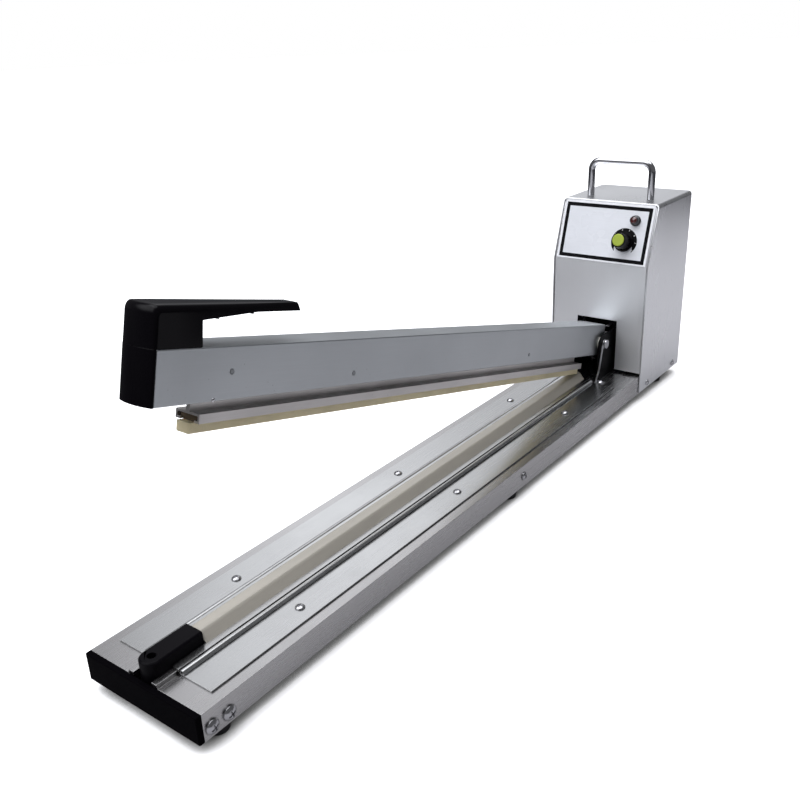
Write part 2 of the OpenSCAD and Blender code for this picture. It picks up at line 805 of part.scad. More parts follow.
// Earth strap from the pin to a screw on the base
module earth_strap() {
    eye_y = pivot_y - 3;
    knee_y = strap_foot_y + 8.4;
    knee_z = base_top + 12;
    foot = strap_foot_y + strap_w/2;
    color([0.72, 0.72, 0.72]) place() {
        across(strap_x0, strap_x0 + strap_t) difference() {
            union() {
                translate([pivot_y, pivot_z]) circle(pin_d/2 + 1.8);
                polygon([
                    [eye_y, pivot_z - 3], [eye_y - strap_w, pivot_z],
                    [knee_y - strap_w, knee_z], [foot - strap_w, base_top + strap_t],
                    [foot - strap_w, base_top], [foot, base_top], [foot, base_top + strap_t],
                    [knee_y, knee_z - 1]
                ]);
            }
            translate([pivot_y, pivot_z]) circle(pin_d/2 + 0.2);
        }
        difference() {
            block([strap_x0, strap_foot_y - 4, base_top],
                  [strap_foot_x + 4, strap_foot_y + 4, base_top + strap_t]);
            translate([strap_foot_x, strap_foot_y, base_top - cut])
                cylinder(h = strap_t + 2*cut, d = screw_d + fit);
        }
    }
}

// Return springs between the arm's tail and the bracket floor
tail_reach = 30;
tail_in = 40;
tail_lift = 3;
tail_t = 2;
tail_h = 8;
spring_x = 6.5;
spring_d = tail_reach - 4;
spring_y = pivot_y + spring_d*cos(open_angle) + tail_h*sin(open_angle);
spring_z0 = rib_top + bracket_floor_t + 3;
spring_z1 = pivot_z - spring_d*sin(open_angle) + tail_h*cos(open_angle) - 3;

module return_springs() {
    color([0.65, 0.65, 0.67]) place() for (x = [-spring_x, spring_x])
        translate([x, spring_y, 0]) {
            translate([0, 0, spring_z0]) coil(3.2, 0.7, spring_z1 - spring_z0, 12);
            translate([0, 0, rib_top]) cylinder(h = spring_z0 + 1.4 - rib_top, d = 1.6);
            translate([0, 0, spring_z1 - 1.4]) cylinder(h = 3.4, d = 1.6);
            translate([0, 0, spring_z0 + 0.2]) rotate([0, 0, 0])
                block([0, -0.7, 0], [3.2, 0.7, 1.2]);
            translate([0, 0, spring_z1 - 1.4]) block([0, -0.7, 0], [3.2, 0.7, 1.2]);
        }
}

// Arm

post_spots = [silicone_d0 + 32, (silicone_d0 + silicone_d1)/2, silicone_d1 - 28];
rivet_d = 3;
rivet_head_d = 5;
rivet_low = 7.6;
rivet_high = 0.8;
rivet_first = 54;
rivet_next = 165;
rivet_last = 413;
rivet_spots = [
    [arm_d1 - rivet_first, arm_middle + rivet_high], [arm_d1 - rivet_next, arm_middle - rivet_low],
    [arm_d1 - rivet_last, arm_middle - rivet_low]
];
grip_screw_d = arm_d1 - 23;
grip_screw_x = 7;
grip_screw_in = 9;

// Aluminium tube of the arm, slotted below for the web of the press bar
module arm_tube() {
    slot = web_t/2 + seat;
    color([0.58, 0.6, 0.61]) on_arm() difference() {
        translate([0, 0, arm_middle]) along_y(-arm_d1, arm_tail_len) difference() {
            round_rect(arm_w, arm_h, arm_corner);
            square([arm_w - 2*arm_wall, arm_h - 2*arm_wall], center = true);
        }
        rod_x(-arm_w, arm_w, bush_d + fit);
        block([-slot, -holder_d1 - seat, arm_bottom - cut],
              [slot, -holder_d0 + seat, arm_bottom + arm_wall + cut]);
        for (p = rivet_spots) translate([0, -p[0], p[1]]) rod_x(-arm_w, arm_w, rivet_d);
        for (x = [-grip_screw_x, grip_screw_x])
            translate([x, -grip_screw_d, arm_over - arm_wall - cut])
                cylinder(h = arm_wall + 2*cut, d = screw_d + fit);
    }
}

// Flanged bushes in the sides of the arm
module arm_bushes() {
    color([0.85, 0.84, 0.78]) on_arm() both_sides() difference() {
        union() {
            rod_x(arm_w/2 - arm_wall - tail_t - fit, arm_w/2, bush_d);
            rod_x(arm_w/2, arm_w/2 + bush_flange_t, bush_flange_d);
        }
        rod_x(0, arm_w, pin_d + 2*pin_clear);
    }
}

// Steel insert in the rear of the tube, whose tail pulls the springs
module arm_tail() {
    out = arm_w/2 - arm_wall - skin;
    low = arm_bottom + arm_wall + tail_lift;
    color([0.5, 0.5, 0.52]) on_arm() difference() {
        union() {
            block([-out, -tail_in, tail_h], [out, tail_reach, tail_h + tail_t]);
            both_sides() block([out - tail_t, -tail_in, low],
                               [out, arm_tail_len, tail_h + tail_t]);
        }
        rod_x(-arm_w, arm_w, bush_d + fit);
        for (x = [-spring_x, spring_x]) translate([x, spring_d, tail_h - cut])
            cylinder(h = tail_t + 2*cut, d = 3.6);
    }
}

nose_bow_r = 32;
nose_edge_r = 1.8;

// Plan of the front of the arm: a bow, and edges whose rounding touches the bow and the side
module nose_plan(back) {
    front = arm_d1 + end_cap_t;
    bow_y = nose_bow_r - front;
    inner_r = nose_bow_r - nose_edge_r;
    edge_x = arm_w/2 - nose_edge_r;
    edge_y = bow_y - sqrt(pow(inner_r, 2) - pow(edge_x, 2));
    meet_x = edge_x*nose_bow_r/inner_r;
    intersection() {
        translate([0, bow_y]) circle(nose_bow_r);
        translate([-meet_x, -front]) square([2*meet_x, front + edge_y + cut]);
    }
    for (s = [-1, 1]) translate([s*edge_x, edge_y]) circle(nose_edge_r);
    translate([-arm_w/2, edge_y]) square([arm_w, -back - edge_y]);
}

// Moulded cap on the front of the arm, with a plug inside the tube
module arm_end_cap() {
    in_x = arm_w/2 - arm_wall - seat;
    in_top = arm_over - arm_wall - seat - 3;
    in_bottom = arm_bottom + arm_wall + seat;
    plug = 14;
    plug_wall = 2;
    color([0.06, 0.06, 0.07]) on_arm() {
        intersection() {
            translate([0, 0, arm_bottom]) linear_extrude(arm_h - skin) nose_plan(arm_d1 - plug);
            block([-arm_w, -arm_d1 - end_cap_t - cut, arm_bottom], [arm_w, -arm_d1, arm_over]);
        }
        difference() {
            block([-in_x, -arm_d1 - skin, in_bottom], [in_x, -arm_d1 + plug, in_top]);
            block([-in_x + plug_wall, -arm_d1 - skin - cut, in_bottom + plug_wall],
                  [in_x - plug_wall, -arm_d1 + plug + cut, in_top - plug_wall]);
        }
    }
}

grip_d1 = arm_d1 + end_cap_t;
grip_root = arm_d1 - grip_block;
grip_tip = grip_root - grip_tail;
nub_in = [13.5, 38];
nub_t = 2;
nub_h = 1.8;

// Height of the underside of the tail at a distance from the grip block
function under_tail(reach) = grip_gap + (grip_bend_h - grip_gap)*reach/grip_bend;

// Side view of the grip: y is -d and z is h
module grip_side() {
    top = arm_over;
    tip_r = 1.6;
    polygon([
        [-grip_d1, top], [-grip_d1, top + grip_h - grip_front_r],
        [-grip_d1 + grip_front_r, top + grip_h],
        [-grip_tip - 2*tip_r, top + grip_tip_h], [-grip_tip - tip_r, top + grip_tip_h - tip_r/2],
        [-grip_tip, top + grip_tip_h - grip_tip_t], [-grip_root + grip_bend, top + grip_bend_h],
        [-grip_root, top + grip_gap], [-grip_root, top]
    ]);
    translate([-grip_d1 + grip_front_r, top + grip_h - grip_front_r]) circle(grip_front_r);
}

// Front view of the grip, rounded along its top edges
module grip_front(w, h, r) {
    translate([-w/2, arm_over]) square([w, h - r]);
    translate([-w/2 + r, arm_over]) square([w - 2*r, h]);
    for (s = [-1, 1]) translate([s*(w/2 - r), arm_over + h - r]) circle(r);
}

// Moulded grip: block on the arm and a free tail, hollow and ribbed underneath
module arm_grip() {
    in_w = arm_w - 2*grip_wall;
    hollow_d0 = grip_tip + 5;
    hollow_h = grip_tip_h - grip_wall;
    hollow_low = 4;
    color([0.05, 0.05, 0.06]) on_arm() difference() {
        union() {
            intersection() {
                across(-arm_w/2, arm_w/2) grip_side();
                along_y(-grip_d1 - cut, -grip_tip + cut)
                    grip_front(arm_w, grip_tip_h, grip_round);
                linear_extrude(arm_over + grip_tip_h + cut) nose_plan(grip_tip - cut);
            }
            for (reach = nub_in) block(
                [-in_w/2, -grip_root + reach - nub_t/2, arm_over + under_tail(reach) - nub_h],
                [in_w/2, -grip_root + reach + nub_t/2, arm_over + hollow_h]);
        }
        difference() {
            intersection() {
                across(-in_w/2, in_w/2) polygon([
                    [-grip_root + grip_wall, arm_over + hollow_low],
                    [-grip_root + grip_wall, arm_over + grip_h - grip_wall],
                    [-hollow_d0, arm_over + hollow_h], [-hollow_d0, arm_over + hollow_low]
                ]);
                along_y(-grip_d1, -grip_tip) grip_front(in_w, hollow_h, cut);
            }
            for (reach = nub_in) block(
                [-in_w/2 - cut, -grip_root + reach - nub_t/2, arm_over],
                [in_w/2 + cut, -grip_root + reach + nub_t/2, arm_over + grip_tip_h]);
        }
        for (x = [-grip_screw_x, grip_screw_x]) translate([x, -grip_screw_d, arm_over - cut])
            cylinder(h = grip_screw_in + 2*cut, d = screw_d + fit);
    }
}

// Screws that hold the grip from inside the tube
module grip_screws() {
    color([0.7, 0.7, 0.72]) on_arm() for (x = [-grip_screw_x, grip_screw_x])
        translate([x, -grip_screw_d, arm_over - arm_wall]) mirror([0, 0, 1])
            pan_screw(screw_d, 7, 2.4, arm_wall + grip_screw_in);
}

// Small rivets across the arm
module arm_rivets() {
    color([0.45, 0.46, 0.47]) on_arm() for (p = rivet_spots) translate([0, -p[0], p[1]])
        both_sides() {
            rod_x(arm_w/2 - arm_wall - 1.5, arm_w/2 + 0.2, rivet_d - fit);
            rod_x(arm_w/2 - arm_wall - 2.5, arm_w/2 - arm_wall - skin, rivet_head_d);
        }
}

// Press bar

// Front view of the holder: a channel open below, with two lips
module holder_profile() {
    half = holder_w/2;
    difference() {
        translate([-half, holder_bottom]) square([holder_w, holder_h]);
        translate([-half + holder_wall, holder_bottom + holder_wall])
            square([holder_w - 2*holder_wall, holder_h - 2*holder_wall]);
        translate([-silicone_w/2 - seat, holder_bottom - cut])
            square([silicone_w + 2*seat, holder_h/2]);
    }
}

// Channel that holds the silicone strip, with the web that rises into the arm
module press_bar_holder() {
    color([0.62, 0.61, 0.58]) on_arm() along_y(-holder_d1, -holder_d0) {
        holder_profile();
        translate([-web_t/2, holder_top - holder_wall])
            square([web_t, collar_z - holder_top + holder_wall]);
    }
}

// Silicone strip with a wide head inside the holder
module silicone_strip() {
    head_half = holder_w/2 - holder_wall - seat;
    head_z0 = holder_bottom + holder_wall + fit;
    head_z1 = holder_top - holder_wall - fit;
    head_in = 10;
    corner = 1;
    color([0.78, 0.74, 0.56]) on_arm() {
        along_y(-silicone_d1, -silicone_d0) {
            translate([-silicone_w/2, silicone_bottom + corner])
                square([silicone_w, silicone_drop - corner - fit]);
            translate([-silicone_w/2 + corner, silicone_bottom])
                square([silicone_w - 2*corner, 2*corner]);
            for (s = [-1, 1]) translate([s*(silicone_w/2 - corner), silicone_bottom + corner])
                circle(corner);
        }
        along_y(-holder_d1 + head_in, -holder_d0 - head_in) {
            translate([-head_half, head_z0]) square([2*head_half, head_z1 - head_z0]);
            translate([-silicone_w/2, silicone_bottom + corner])
                square([silicone_w, head_z1 - silicone_bottom - corner]);
        }
    }
}

collar_t = 1.5;
collar_d = post_d + 5;
post_top = 2;
collar_z = arm_bottom + arm_wall + fit;

// Posts on the web of the press bar, with collars that rest inside the arm
module guide_posts() {
    color([0.1, 0.1, 0.1]) on_arm() for (d = post_spots) translate([0, -d, collar_z]) {
        cylinder(h = post_top - collar_z, d = post_d);
        cylinder(h = collar_t, d = collar_d);
    }
}

// Springs inside the arm, which press the bar down
module bar_springs() {
    z0 = collar_z + collar_t + fit;
    z1 = arm_over - arm_wall - fit;
    color([0.6, 0.6, 0.62]) on_arm() for (d = post_spots) translate([0, -d, z0])
        coil(post_d/2 + 1.2, 0.6, z1 - z0, 7);
}

// Switch

switch_len = 27.8;
switch_tall = 15.9;
switch_thick = 10.2;
switch_x1 = cheek_x - fit;
switch_x0 = switch_x1 - switch_thick;
switch_y0 = housing_y0 + 7;
switch_z0 = pivot_z + tail_h + tail_t + 4;
lever_y = switch_y0 + switch_len - 3;
lever_t = 0.6;
lever_w = 4;
lever_pin_d = 3;

// Snap switch on the right cheek, above the arm's tail
module microswitch() {
    color([0.12, 0.12, 0.13]) place() difference() {
        union() {
            block([switch_x0, switch_y0, switch_z0],
                  [switch_x1, switch_y0 + switch_len, switch_z0 + switch_tall]);
            for (y = [4, 14, 24]) block(
                [switch_x0 + 3, switch_y0 + y - 1.6, switch_z0 + switch_tall - cut],
                [switch_x0 + 3.6, switch_y0 + y + 1.6, switch_z0 + switch_tall + 5]);
        }
        translate([0, lever_y, switch_z0]) rod_x(switch_x0 - cut, switch_x1 + cut, lever_pin_d + fit);
    }
}

// Lever of the switch, held just above the closed arm's tail
module switch_lever() {
    tip_y = switch_y0 - 3;
    middle = (switch_x0 + switch_x1)/2;
    color([0.75, 0.75, 0.77]) place() {
        across(middle - lever_w/2, middle + lever_w/2) polygon([
            [tip_y, switch_z0 - 3.2], [lever_y, switch_z0 - 1], [lever_y, switch_z0 - 1 + lever_t],
            [tip_y, switch_z0 - 3.2 + lever_t]
        ]);
        translate([0, lever_y, switch_z0])
            rod_x(middle - lever_w/2, middle + lever_w/2, lever_pin_d);
    }
}

// Housing

module cover_side_outline() {
    slant_run = slant_h*tan(panel_tilt);
    polygon([
        [housing_y0, foot_h + housing_drop], [housing_y0, bend_z],
        [housing_y0 + slant_run, housing_top], [housing_y1, housing_top],
        [housing_y1, foot_h + housing_drop]
    ]);
}

// Front view of the cover, open below, with rounded bends along the top
module cover_front_outline(half, top, r) {
    translate([-half, 0]) square([2*half, top - r]);
    translate([-half + r, 0]) square([2*half - 2*r, top]);
    for (s = [-1, 1]) translate([s*(half - r), top - r]) circle(r);
}

carry_y = housing_y0 + carry_back;

// Cover bent from one sheet: two sides and the top
module housing_cover() {
    color([0.68, 0.68, 0.69]) place() difference() {
        intersection() {
            along_y(housing_y0 - cut, housing_y1 + cut) difference() {
                cover_front_outline(cover_half, housing_top, housing_bend);
                translate([0, -cut]) cover_front_outline(
                    inner_half, housing_top - sheet_t + cut, housing_bend - sheet_t);
            }
            across(-cover_half - cut, cover_half + cut) cover_side_outline();
        }
        for (y = cover_spots) translate([0, y, housing_screw_z])
            both_sides() rod_x(inner_half - cut, cover_half + cut, screw_d + fit);
        for (s = [-1, 1]) translate([s*carry_span/2, carry_y, housing_top - sheet_t - cut])
            cylinder(h = sheet_t + 2*cut, d = carry_d + fit);
    }
}

pot_d = 7;

// Front panel with the opening for the arm and the slanted control face
module housing_front() {
    half = inner_half - panel_gap;
    low = base_top + panel_lift;
    flange = 12;
    color([0.7, 0.71, 0.72]) difference() {
        intersection() {
            union() {
                place() {
                    block([-half, panel_y, low], [half, panel_y + sheet_t, bend_z]);
                    both_sides() block([notch_w/2, panel_y, low],
                        [half, panel_y + flange, low + sheet_t]);
                    across(-half, half)
                        translate([panel_y + slant_len*sin(panel_tilt),
                                   housing_top - 2*sheet_t - fit])
                            square([flange, sheet_t]);
                }
                on_panel(0, 0, -sheet_t)
                    block([-half, 0, 0], [half, slant_len, sheet_t]);
            }
            place() along_y(panel_y - cut, panel_y + 2*flange + slant_h*tan(panel_tilt))
                cover_front_outline(half, housing_top - sheet_t - fit, housing_bend);
        }
        place() block([-notch_w/2, panel_y - cut, low - cut],
                      [notch_w/2, panel_y + flange + cut, base_top + notch_h]);
        place() for (p = bracket_spots) translate([p[0], p[1], low - cut])
            cylinder(h = sheet_t + 2*cut, d = screw_d + fit);
        on_panel(knob_x, knob_s, -sheet_t - cut) cylinder(h = sheet_t + 2*cut, d = pot_d + fit);
        on_panel(lamp_x, lamp_s, -sheet_t - cut)
            cylinder(h = sheet_t + 2*cut, d = lamp_barrel_d + fit);
    }
}

fuse_in = 9.5;
fuse_x = base_w/2 - fuse_in;
fuse_z = 52;
fuse_d = 12;
gland_d = 12;
rear_screw_z = base_top - base_wall - boss_r + fit;

// Rear panel with vents and the holes of the cord gland and the fuse
module housing_rear() {
    half = inner_half - panel_gap;
    low = foot_h + housing_drop;
    high = housing_top - sheet_t - fit;
    flange = 12;
    vent_w = 44;
    vent_h = 3;
    vent_pitch = 8;
    color([0.68, 0.68, 0.69]) place() difference() {
        union() {
            along_y(rear_face - sheet_t, rear_face) intersection() {
                cover_front_outline(half, high, housing_bend);
                translate([-half, low]) square([2*half, high - low]);
            }
            block([-half + housing_bend, rear_face - flange, high - sheet_t],
                  [half - housing_bend, rear_face, high]);
        }
        for (i = [0 : 6]) translate([0, rear_face + cut, high - 38 - i*vent_pitch])
            rotate([90, 0, 0]) linear_extrude(sheet_t + 2*cut)
                round_rect(vent_w, vent_h, vent_h/2 - skin);
        translate([fuse_x, rear_face - sheet_t - cut, fuse_z]) rotate([-90, 0, 0])
            cylinder(h = sheet_t + 2*cut, d = fuse_d + fit);
        translate([-fuse_x, rear_face - sheet_t - cut, fuse_z]) rotate([-90, 0, 0])
            cylinder(h = sheet_t + 2*cut, d = gland_d + fit);
        for (s = [-1, 1]) translate([s*boss_x, rear_face - sheet_t - cut, rear_screw_z])
            rotate([-90, 0, 0]) cylinder(h = sheet_t + 2*cut, d = screw_d + fit);
    }
}

// Screws of the cover, two on each side, and of the rear panel
module housing_screws() {
    color([0.78, 0.78, 0.8]) place() {
        both_sides() for (y = cover_spots) translate([cover_half, y, housing_screw_z])
            rotate([0, 90, 0]) rotate(30) pan_screw(screw_d, 6.6, 2.2, 7);
        for (s = [-1, 1]) translate([s*boss_x, rear_face, rear_screw_z])
            rotate([-90, 0, 0]) pan_screw(screw_d, 7, 2.4, 10);
    }
}

// Controls

lamp_barrel_d = 7.6;
label_margin = (slant_len - label_h)/2;

// Plate on the slanted panel, with holes for the lamp and the timer
module label_plate() {
    color([0.88, 0.89, 0.92]) difference() {
        on_panel(0, 0, 0) block([-label_w/2, label_margin, skin],
                                [label_w/2, label_margin + label_h, label_t]);
        on_panel(knob_x, knob_s, -cut) cylinder(h = label_t + 2*cut, d = pot_d + fit);
        on_panel(lamp_x, lamp_s, -cut) cylinder(h = label_t + 2*cut, d = lamp_barrel_d + fit);
    }
}

// Bright ring of the lamp, with its threaded barrel through the panel
module lamp_bezel() {
    color([0.8, 0.8, 0.82]) on_panel(lamp_x, lamp_s, label_t) rotate_extrude() polygon([
        [2.6, -12], [lamp_barrel_d/2, -12], [lamp_barrel_d/2, 0], [lamp_d/2, 0],
        [lamp_d/2, 1.2], [lamp_d/2 - 0.5, 1.8], [4.6, 2.2], [4.2, 5.4], [3.8, 5.8],
        [3.3, 5.8], [3.3, 2], [2.6, 2]
    ]);
}

// Red lens of the lamp
module lamp_lens() {
    color([0.45, 0.05, 0.04]) on_panel(lamp_x, lamp_s, label_t) union() {
        translate([0, 0, 2.1]) cylinder(h = 3.4, r = 3.2);
        intersection() {
            translate([0, 0, 1.3]) sphere(r = 5.2);
            translate([0, 0, 5.3]) cylinder(h = 2, r = 3.2);
        }
    }
}

// Neon lamp and its nut behind the panel
module lamp_body() {
    color([0.75, 0.72, 0.65]) on_panel(lamp_x, lamp_s, label_t) {
        translate([0, 0, -12.5]) cylinder(h = 14.5, r = 2.4);
        translate([0, 0, -17]) cylinder(h = 4.9, r = 3.6);
        translate([0, 0, -label_t - sheet_t - 2.2]) difference() {
            cylinder(h = 2.1, d = 12.7, $fn = 6);
            translate([0, 0, -cut]) cylinder(h = 4, d = lamp_barrel_d + fit);
        }
    }
}

pot_body_d = 17;
pot_body_t = 8.6;
shaft_d = 6;

// Timer potentiometer with its bush and nut
module timer_pot() {
    color([0.5, 0.5, 0.45]) on_panel(knob_x, knob_s, -sheet_t) difference() {
        union() {
            translate([0, 0, -pot_body_t]) cylinder(h = pot_body_t - fit, d = pot_body_d);
            translate([0, 0, -1]) cylinder(h = sheet_t + label_t + 3.4, d = pot_d);
            translate([0, 0, sheet_t + label_t]) cylinder(h = 1.8, d = 11, $fn = 6);
        }
        translate([0, 0, -4]) cylinder(h = 20, d = shaft_d + 0.1);
    }
}

// Shaft of the potentiometer, which the knob turns
module knob_shaft() {
    color([0.7, 0.68, 0.6]) on_panel(knob_x, knob_s, label_t)
        translate([0, 0, -3]) cylinder(h = knob_h - 4, d = shaft_d);
}

// Black knob with a skirt and flutes
module timer_knob() {
    flutes = 20;
    waist = knob_d/2 - 1.6;
    color([0.04, 0.04, 0.045]) on_panel(knob_x, knob_s, label_t) difference() {
        union() {
            translate([0, 0, 0.4]) cylinder(h = 1.8, d = knob_d);
            translate([0, 0, 2.1]) cylinder(h = knob_h - 2.1, r1 = waist, r2 = knob_cap_d/2 + 1);
        }
        translate([0, 0, -cut]) cylinder(h = cut + 3.2, d = 13.6);
        translate([0, 0, -cut]) cylinder(h = knob_h - 2, d = shaft_d + fit);
        translate([0, 0, knob_h - 1.4]) cylinder(h = 4, d = knob_cap_d + fit);
        for (i = [0 : flutes - 1]) rotate(i*360/flutes)
            translate([waist + 0.45, 0, 2.6]) cylinder(h = knob_h, r = 0.7);
    }
}

// Coloured cap of the knob
module knob_cap() {
    color([0.6, 0.68, 0.2]) on_panel(knob_x, knob_s, label_t)
        translate([0, 0, knob_h - 1.3]) union() {
            cylinder(h = 1.5, d = knob_cap_d);
            translate([0, 0, 1.4]) cylinder(h = 0.6, r1 = knob_cap_d/2, r2 = knob_cap_d/2 - 0.6);
        }
}

board_w = 80;
board_h = 34;
board_t = 1.6;
board_s0 = 3;
board_z = -sheet_t - pot_body_t - board_t - fit;

// Timer board behind the potentiometer
module timer_board() {
    color([0.1, 0.35, 0.15]) on_panel(0, board_s0, board_z)
        block([-board_w/2, 0, 0], [board_w/2, board_h, board_t]);
}

// Relay, capacitors and transistors on the board
module board_parts() {
    relay = [19, 16, 15];
    can_d = 10;
    can_h = 16;
    chip = [4.6, 3.6, 6];
    rest = -skin;
    color([0.15, 0.2, 0.45]) on_panel(-board_w/2, board_s0, board_z + rest) {
        translate([6, 7, -relay[2]]) cube(relay);
        for (i = [0 : 1]) translate([34 + 1.2*can_d*i, board_h/2, -can_h])
            cylinder(h = can_h, d = can_d);
        for (i = [0 : 2]) translate([board_w - 24 + 8*i, 9, -chip[2]]) cube(chip);
    }
}

// Carrying handle

nut_h = 5;

// Bent rod with its ends through the top of the housing
module carry_handle() {
    half = carry_span/2;
    top = carry_h - carry_d/2;
    down = sheet_t + nut_h + 3;
    color([0.8, 0.8, 0.82]) place() translate([0, carry_y, housing_top]) {
        both_sides() {
            translate([half, 0, -down]) cylinder(h = down + top - carry_bend, d = carry_d);
            translate([half - carry_bend, 0, top - carry_bend]) rotate([90, 0, 0])
                rotate_extrude(angle = 90) translate([carry_bend, 0]) circle(d = carry_d);
        }
        translate([0, 0, top]) rod_x(-half + carry_bend, half - carry_bend, carry_d);
    }
}

// Nuts that hold the carrying handle under the top
module handle_nuts() {
    color([0.7, 0.7, 0.72]) place() for (s = [-1, 1])
        translate([s*carry_span/2, carry_y, housing_top - sheet_t - fit - nut_h]) difference() {
            cylinder(h = nut_h, d = carry_d + 7, $fn = 6);
            translate([0, 0, -cut]) cylinder(h = nut_h + 2*cut, d = carry_d + fit);
        }
}

// Transformer

core_gap = 2.5;
coil_out = 10;
core_y = bracket_y1 + core_gap + coil_out + core_t/2;
core_z = rib_top;
leg_w = core_w/3;
window_w = core_w/6;

// Stack of laminations with its two windows
module transformer_core() {
    color([0.3, 0.3, 0.32]) place() difference() {
        block([-core_w/2, core_y - core_t/2, core_z],
              [core_w/2, core_y + core_t/2, core_z + core_h]);
        both_sides() block([leg_w/2, core_y - core_t, core_z + window_w],
            [leg_w/2 + window_w, core_y + core_t, core_z + core_h - window_w]);
    }
}

// Winding around the middle leg
module transformer_coil() {
    gap = seat;
    outer = leg_w/2 + window_w - gap;
    color([0.6, 0.35, 0.15]) place() difference() {
        block([-outer, core_y - core_t/2 - coil_out, core_z + window_w + gap],
              [outer, core_y + core_t/2 + coil_out, core_z + core_h - window_w - gap]);
        block([-leg_w/2 - gap, core_y - core_t/2 - gap, core_z],
              [leg_w/2 + gap, core_y + core_t/2 + gap, core_z + core_h]);
    }
}

// Strap over the core, with feet on the base
module transformer_strap() {
    t = 2;
    w = 14;
    half = core_w/2 + fit;
    high = core_z + core_h + fit;
    color([0.6, 0.6, 0.62]) place() along_y(core_y - w/2, core_y + w/2) {
        translate([-half - t, high]) square([2*half + 2*t, t]);
        for (s = [-1, 1]) {
            translate([s*(half + t/2) - t/2, base_top]) square([t, high - base_top + t]);
            translate([s > 0 ? half : -half - 10, base_top]) square([10, t]);
        }
    }
}

// Rear fittings

// Panel fuse holder with a hollow barrel
module fuse_holder() {
    color([0.08, 0.08, 0.08]) place() translate([fuse_x, rear_face, fuse_z])
        rotate([-90, 0, 0]) difference() {
            union() {
                cylinder(h = 2, d = fuse_d + 3);
                translate([0, 0, -26]) cylinder(h = 27, d = fuse_d);
            }
            translate([0, 0, -24]) cylinder(h = 40, d = fuse_d - 4);
        }
}

// Turning cap of the fuse holder
module fuse_cap() {
    color([0.06, 0.06, 0.06]) place() translate([fuse_x, rear_face, fuse_z])
        rotate([-90, 0, 0]) difference() {
            union() {
                translate([0, 0, 2 + seat]) cylinder(h = 5.4, d = fuse_d - 1);
                translate([0, 0, -20]) cylinder(h = 23, d = fuse_d - 4.2);
            }
            translate([-5, -0.6, 6.7]) cube([10, 1.2, 3]);
        }
}

// Gland at which the mains cord would enter, left empty
module cable_gland() {
    color([0.06, 0.06, 0.06]) place() translate([-fuse_x, rear_face, fuse_z])
        rotate([-90, 0, 0]) difference() {
            union() {
                rotate(30) cylinder(h = 4, d = gland_d + 6, $fn = 6);
                translate([0, 0, -8]) cylinder(h = 9, d = gland_d);
                translate([0, 0, 3.9]) cylinder(h = gland_out - 3.9, d1 = gland_d + 2, d2 = 11);
                translate([0, 0, -sheet_t - fit - 3]) rotate(30)
                    cylinder(h = 3, d = gland_d + 6, $fn = 6);
            }
            translate([0, 0, -10]) cylinder(h = 30, d = 7.4);
        }
}

base_extrusion();
base_end_cap();
rubber_feet();
foot_screws();
base_side_screws();
clamp_strip_left();
clamp_strip_right();
clamp_screws();
bed_bar();
insulation_tape();
heating_ribbon();
ptfe_cloth();
front_terminal_cover();
cover_screw();
front_terminal();
terminal_spring();
rear_terminal();
rear_terminal_cover();
hinge_bracket();
bracket_screws();
hinge_pin();
pin_clip();
earth_strap();
return_springs();
arm_tube();
arm_bushes();
arm_tail();
arm_end_cap();
arm_grip();
grip_screws();
arm_rivets();
press_bar_holder();
silicone_strip();
guide_posts();
bar_springs();
microswitch();
switch_lever();
housing_cover();
housing_front();
housing_rear();
housing_screws();
label_plate();
lamp_bezel();
lamp_lens();
lamp_body();
timer_pot();
knob_shaft();
timer_knob();
knob_cap();
timer_board();
board_parts();
carry_handle();
handle_nuts();
transformer_core();
transformer_coil();
transformer_strap();
fuse_holder();
fuse_cap();
cable_gland();
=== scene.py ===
import json
import math

import bmesh
import bpy
from bpy.props import FloatProperty, FloatVectorProperty, IntProperty, PointerProperty
from mathutils import Matrix, Vector, noise


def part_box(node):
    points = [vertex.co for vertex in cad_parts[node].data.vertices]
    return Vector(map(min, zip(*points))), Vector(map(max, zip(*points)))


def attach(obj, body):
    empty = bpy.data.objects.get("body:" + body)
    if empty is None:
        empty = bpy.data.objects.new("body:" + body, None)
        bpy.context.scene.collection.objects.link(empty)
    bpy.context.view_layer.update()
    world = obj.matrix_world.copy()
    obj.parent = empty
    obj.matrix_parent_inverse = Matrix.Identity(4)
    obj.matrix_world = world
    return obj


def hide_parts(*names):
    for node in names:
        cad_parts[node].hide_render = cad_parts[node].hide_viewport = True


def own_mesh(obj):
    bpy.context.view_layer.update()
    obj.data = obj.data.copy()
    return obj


bl_info = {
    "name": "Impulse Sealer",
    "version": (1, 0, 0),
    "blender": (4, 5, 0),
    "location": "View3D > Sidebar > Sealer",
    "description": "Dresses the fixed model of a long arm impulse sealer and sets its studio",
    "category": "Add Mesh",
}

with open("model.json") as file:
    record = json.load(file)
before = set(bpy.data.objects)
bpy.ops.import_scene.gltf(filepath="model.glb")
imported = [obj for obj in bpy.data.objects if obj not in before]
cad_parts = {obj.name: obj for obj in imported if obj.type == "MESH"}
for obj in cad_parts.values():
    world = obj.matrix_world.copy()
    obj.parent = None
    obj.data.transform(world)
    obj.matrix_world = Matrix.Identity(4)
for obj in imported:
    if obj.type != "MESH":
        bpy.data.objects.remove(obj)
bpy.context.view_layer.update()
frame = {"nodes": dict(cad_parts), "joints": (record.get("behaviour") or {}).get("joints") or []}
NODES = frame["nodes"]
JOINTS = {joint["name"]: joint for joint in frame["joints"]}
MM = 0.001

# Slack for comparing places, and the distance within which points are one
NEAR = 0.01*MM
WELD = 0.001*MM

# Places that come from the frame
HINGE = Vector(JOINTS["arm_hinge"]["pos_m"])
OPEN_ANGLE = math.radians(max(JOINTS["arm_hinge"]["range_deg"]))
PANEL_NORMAL = Vector(JOINTS["timer_turn"]["axis"]).normalized()
KNOB_CENTRE = Vector(JOINTS["timer_turn"]["pos_m"])

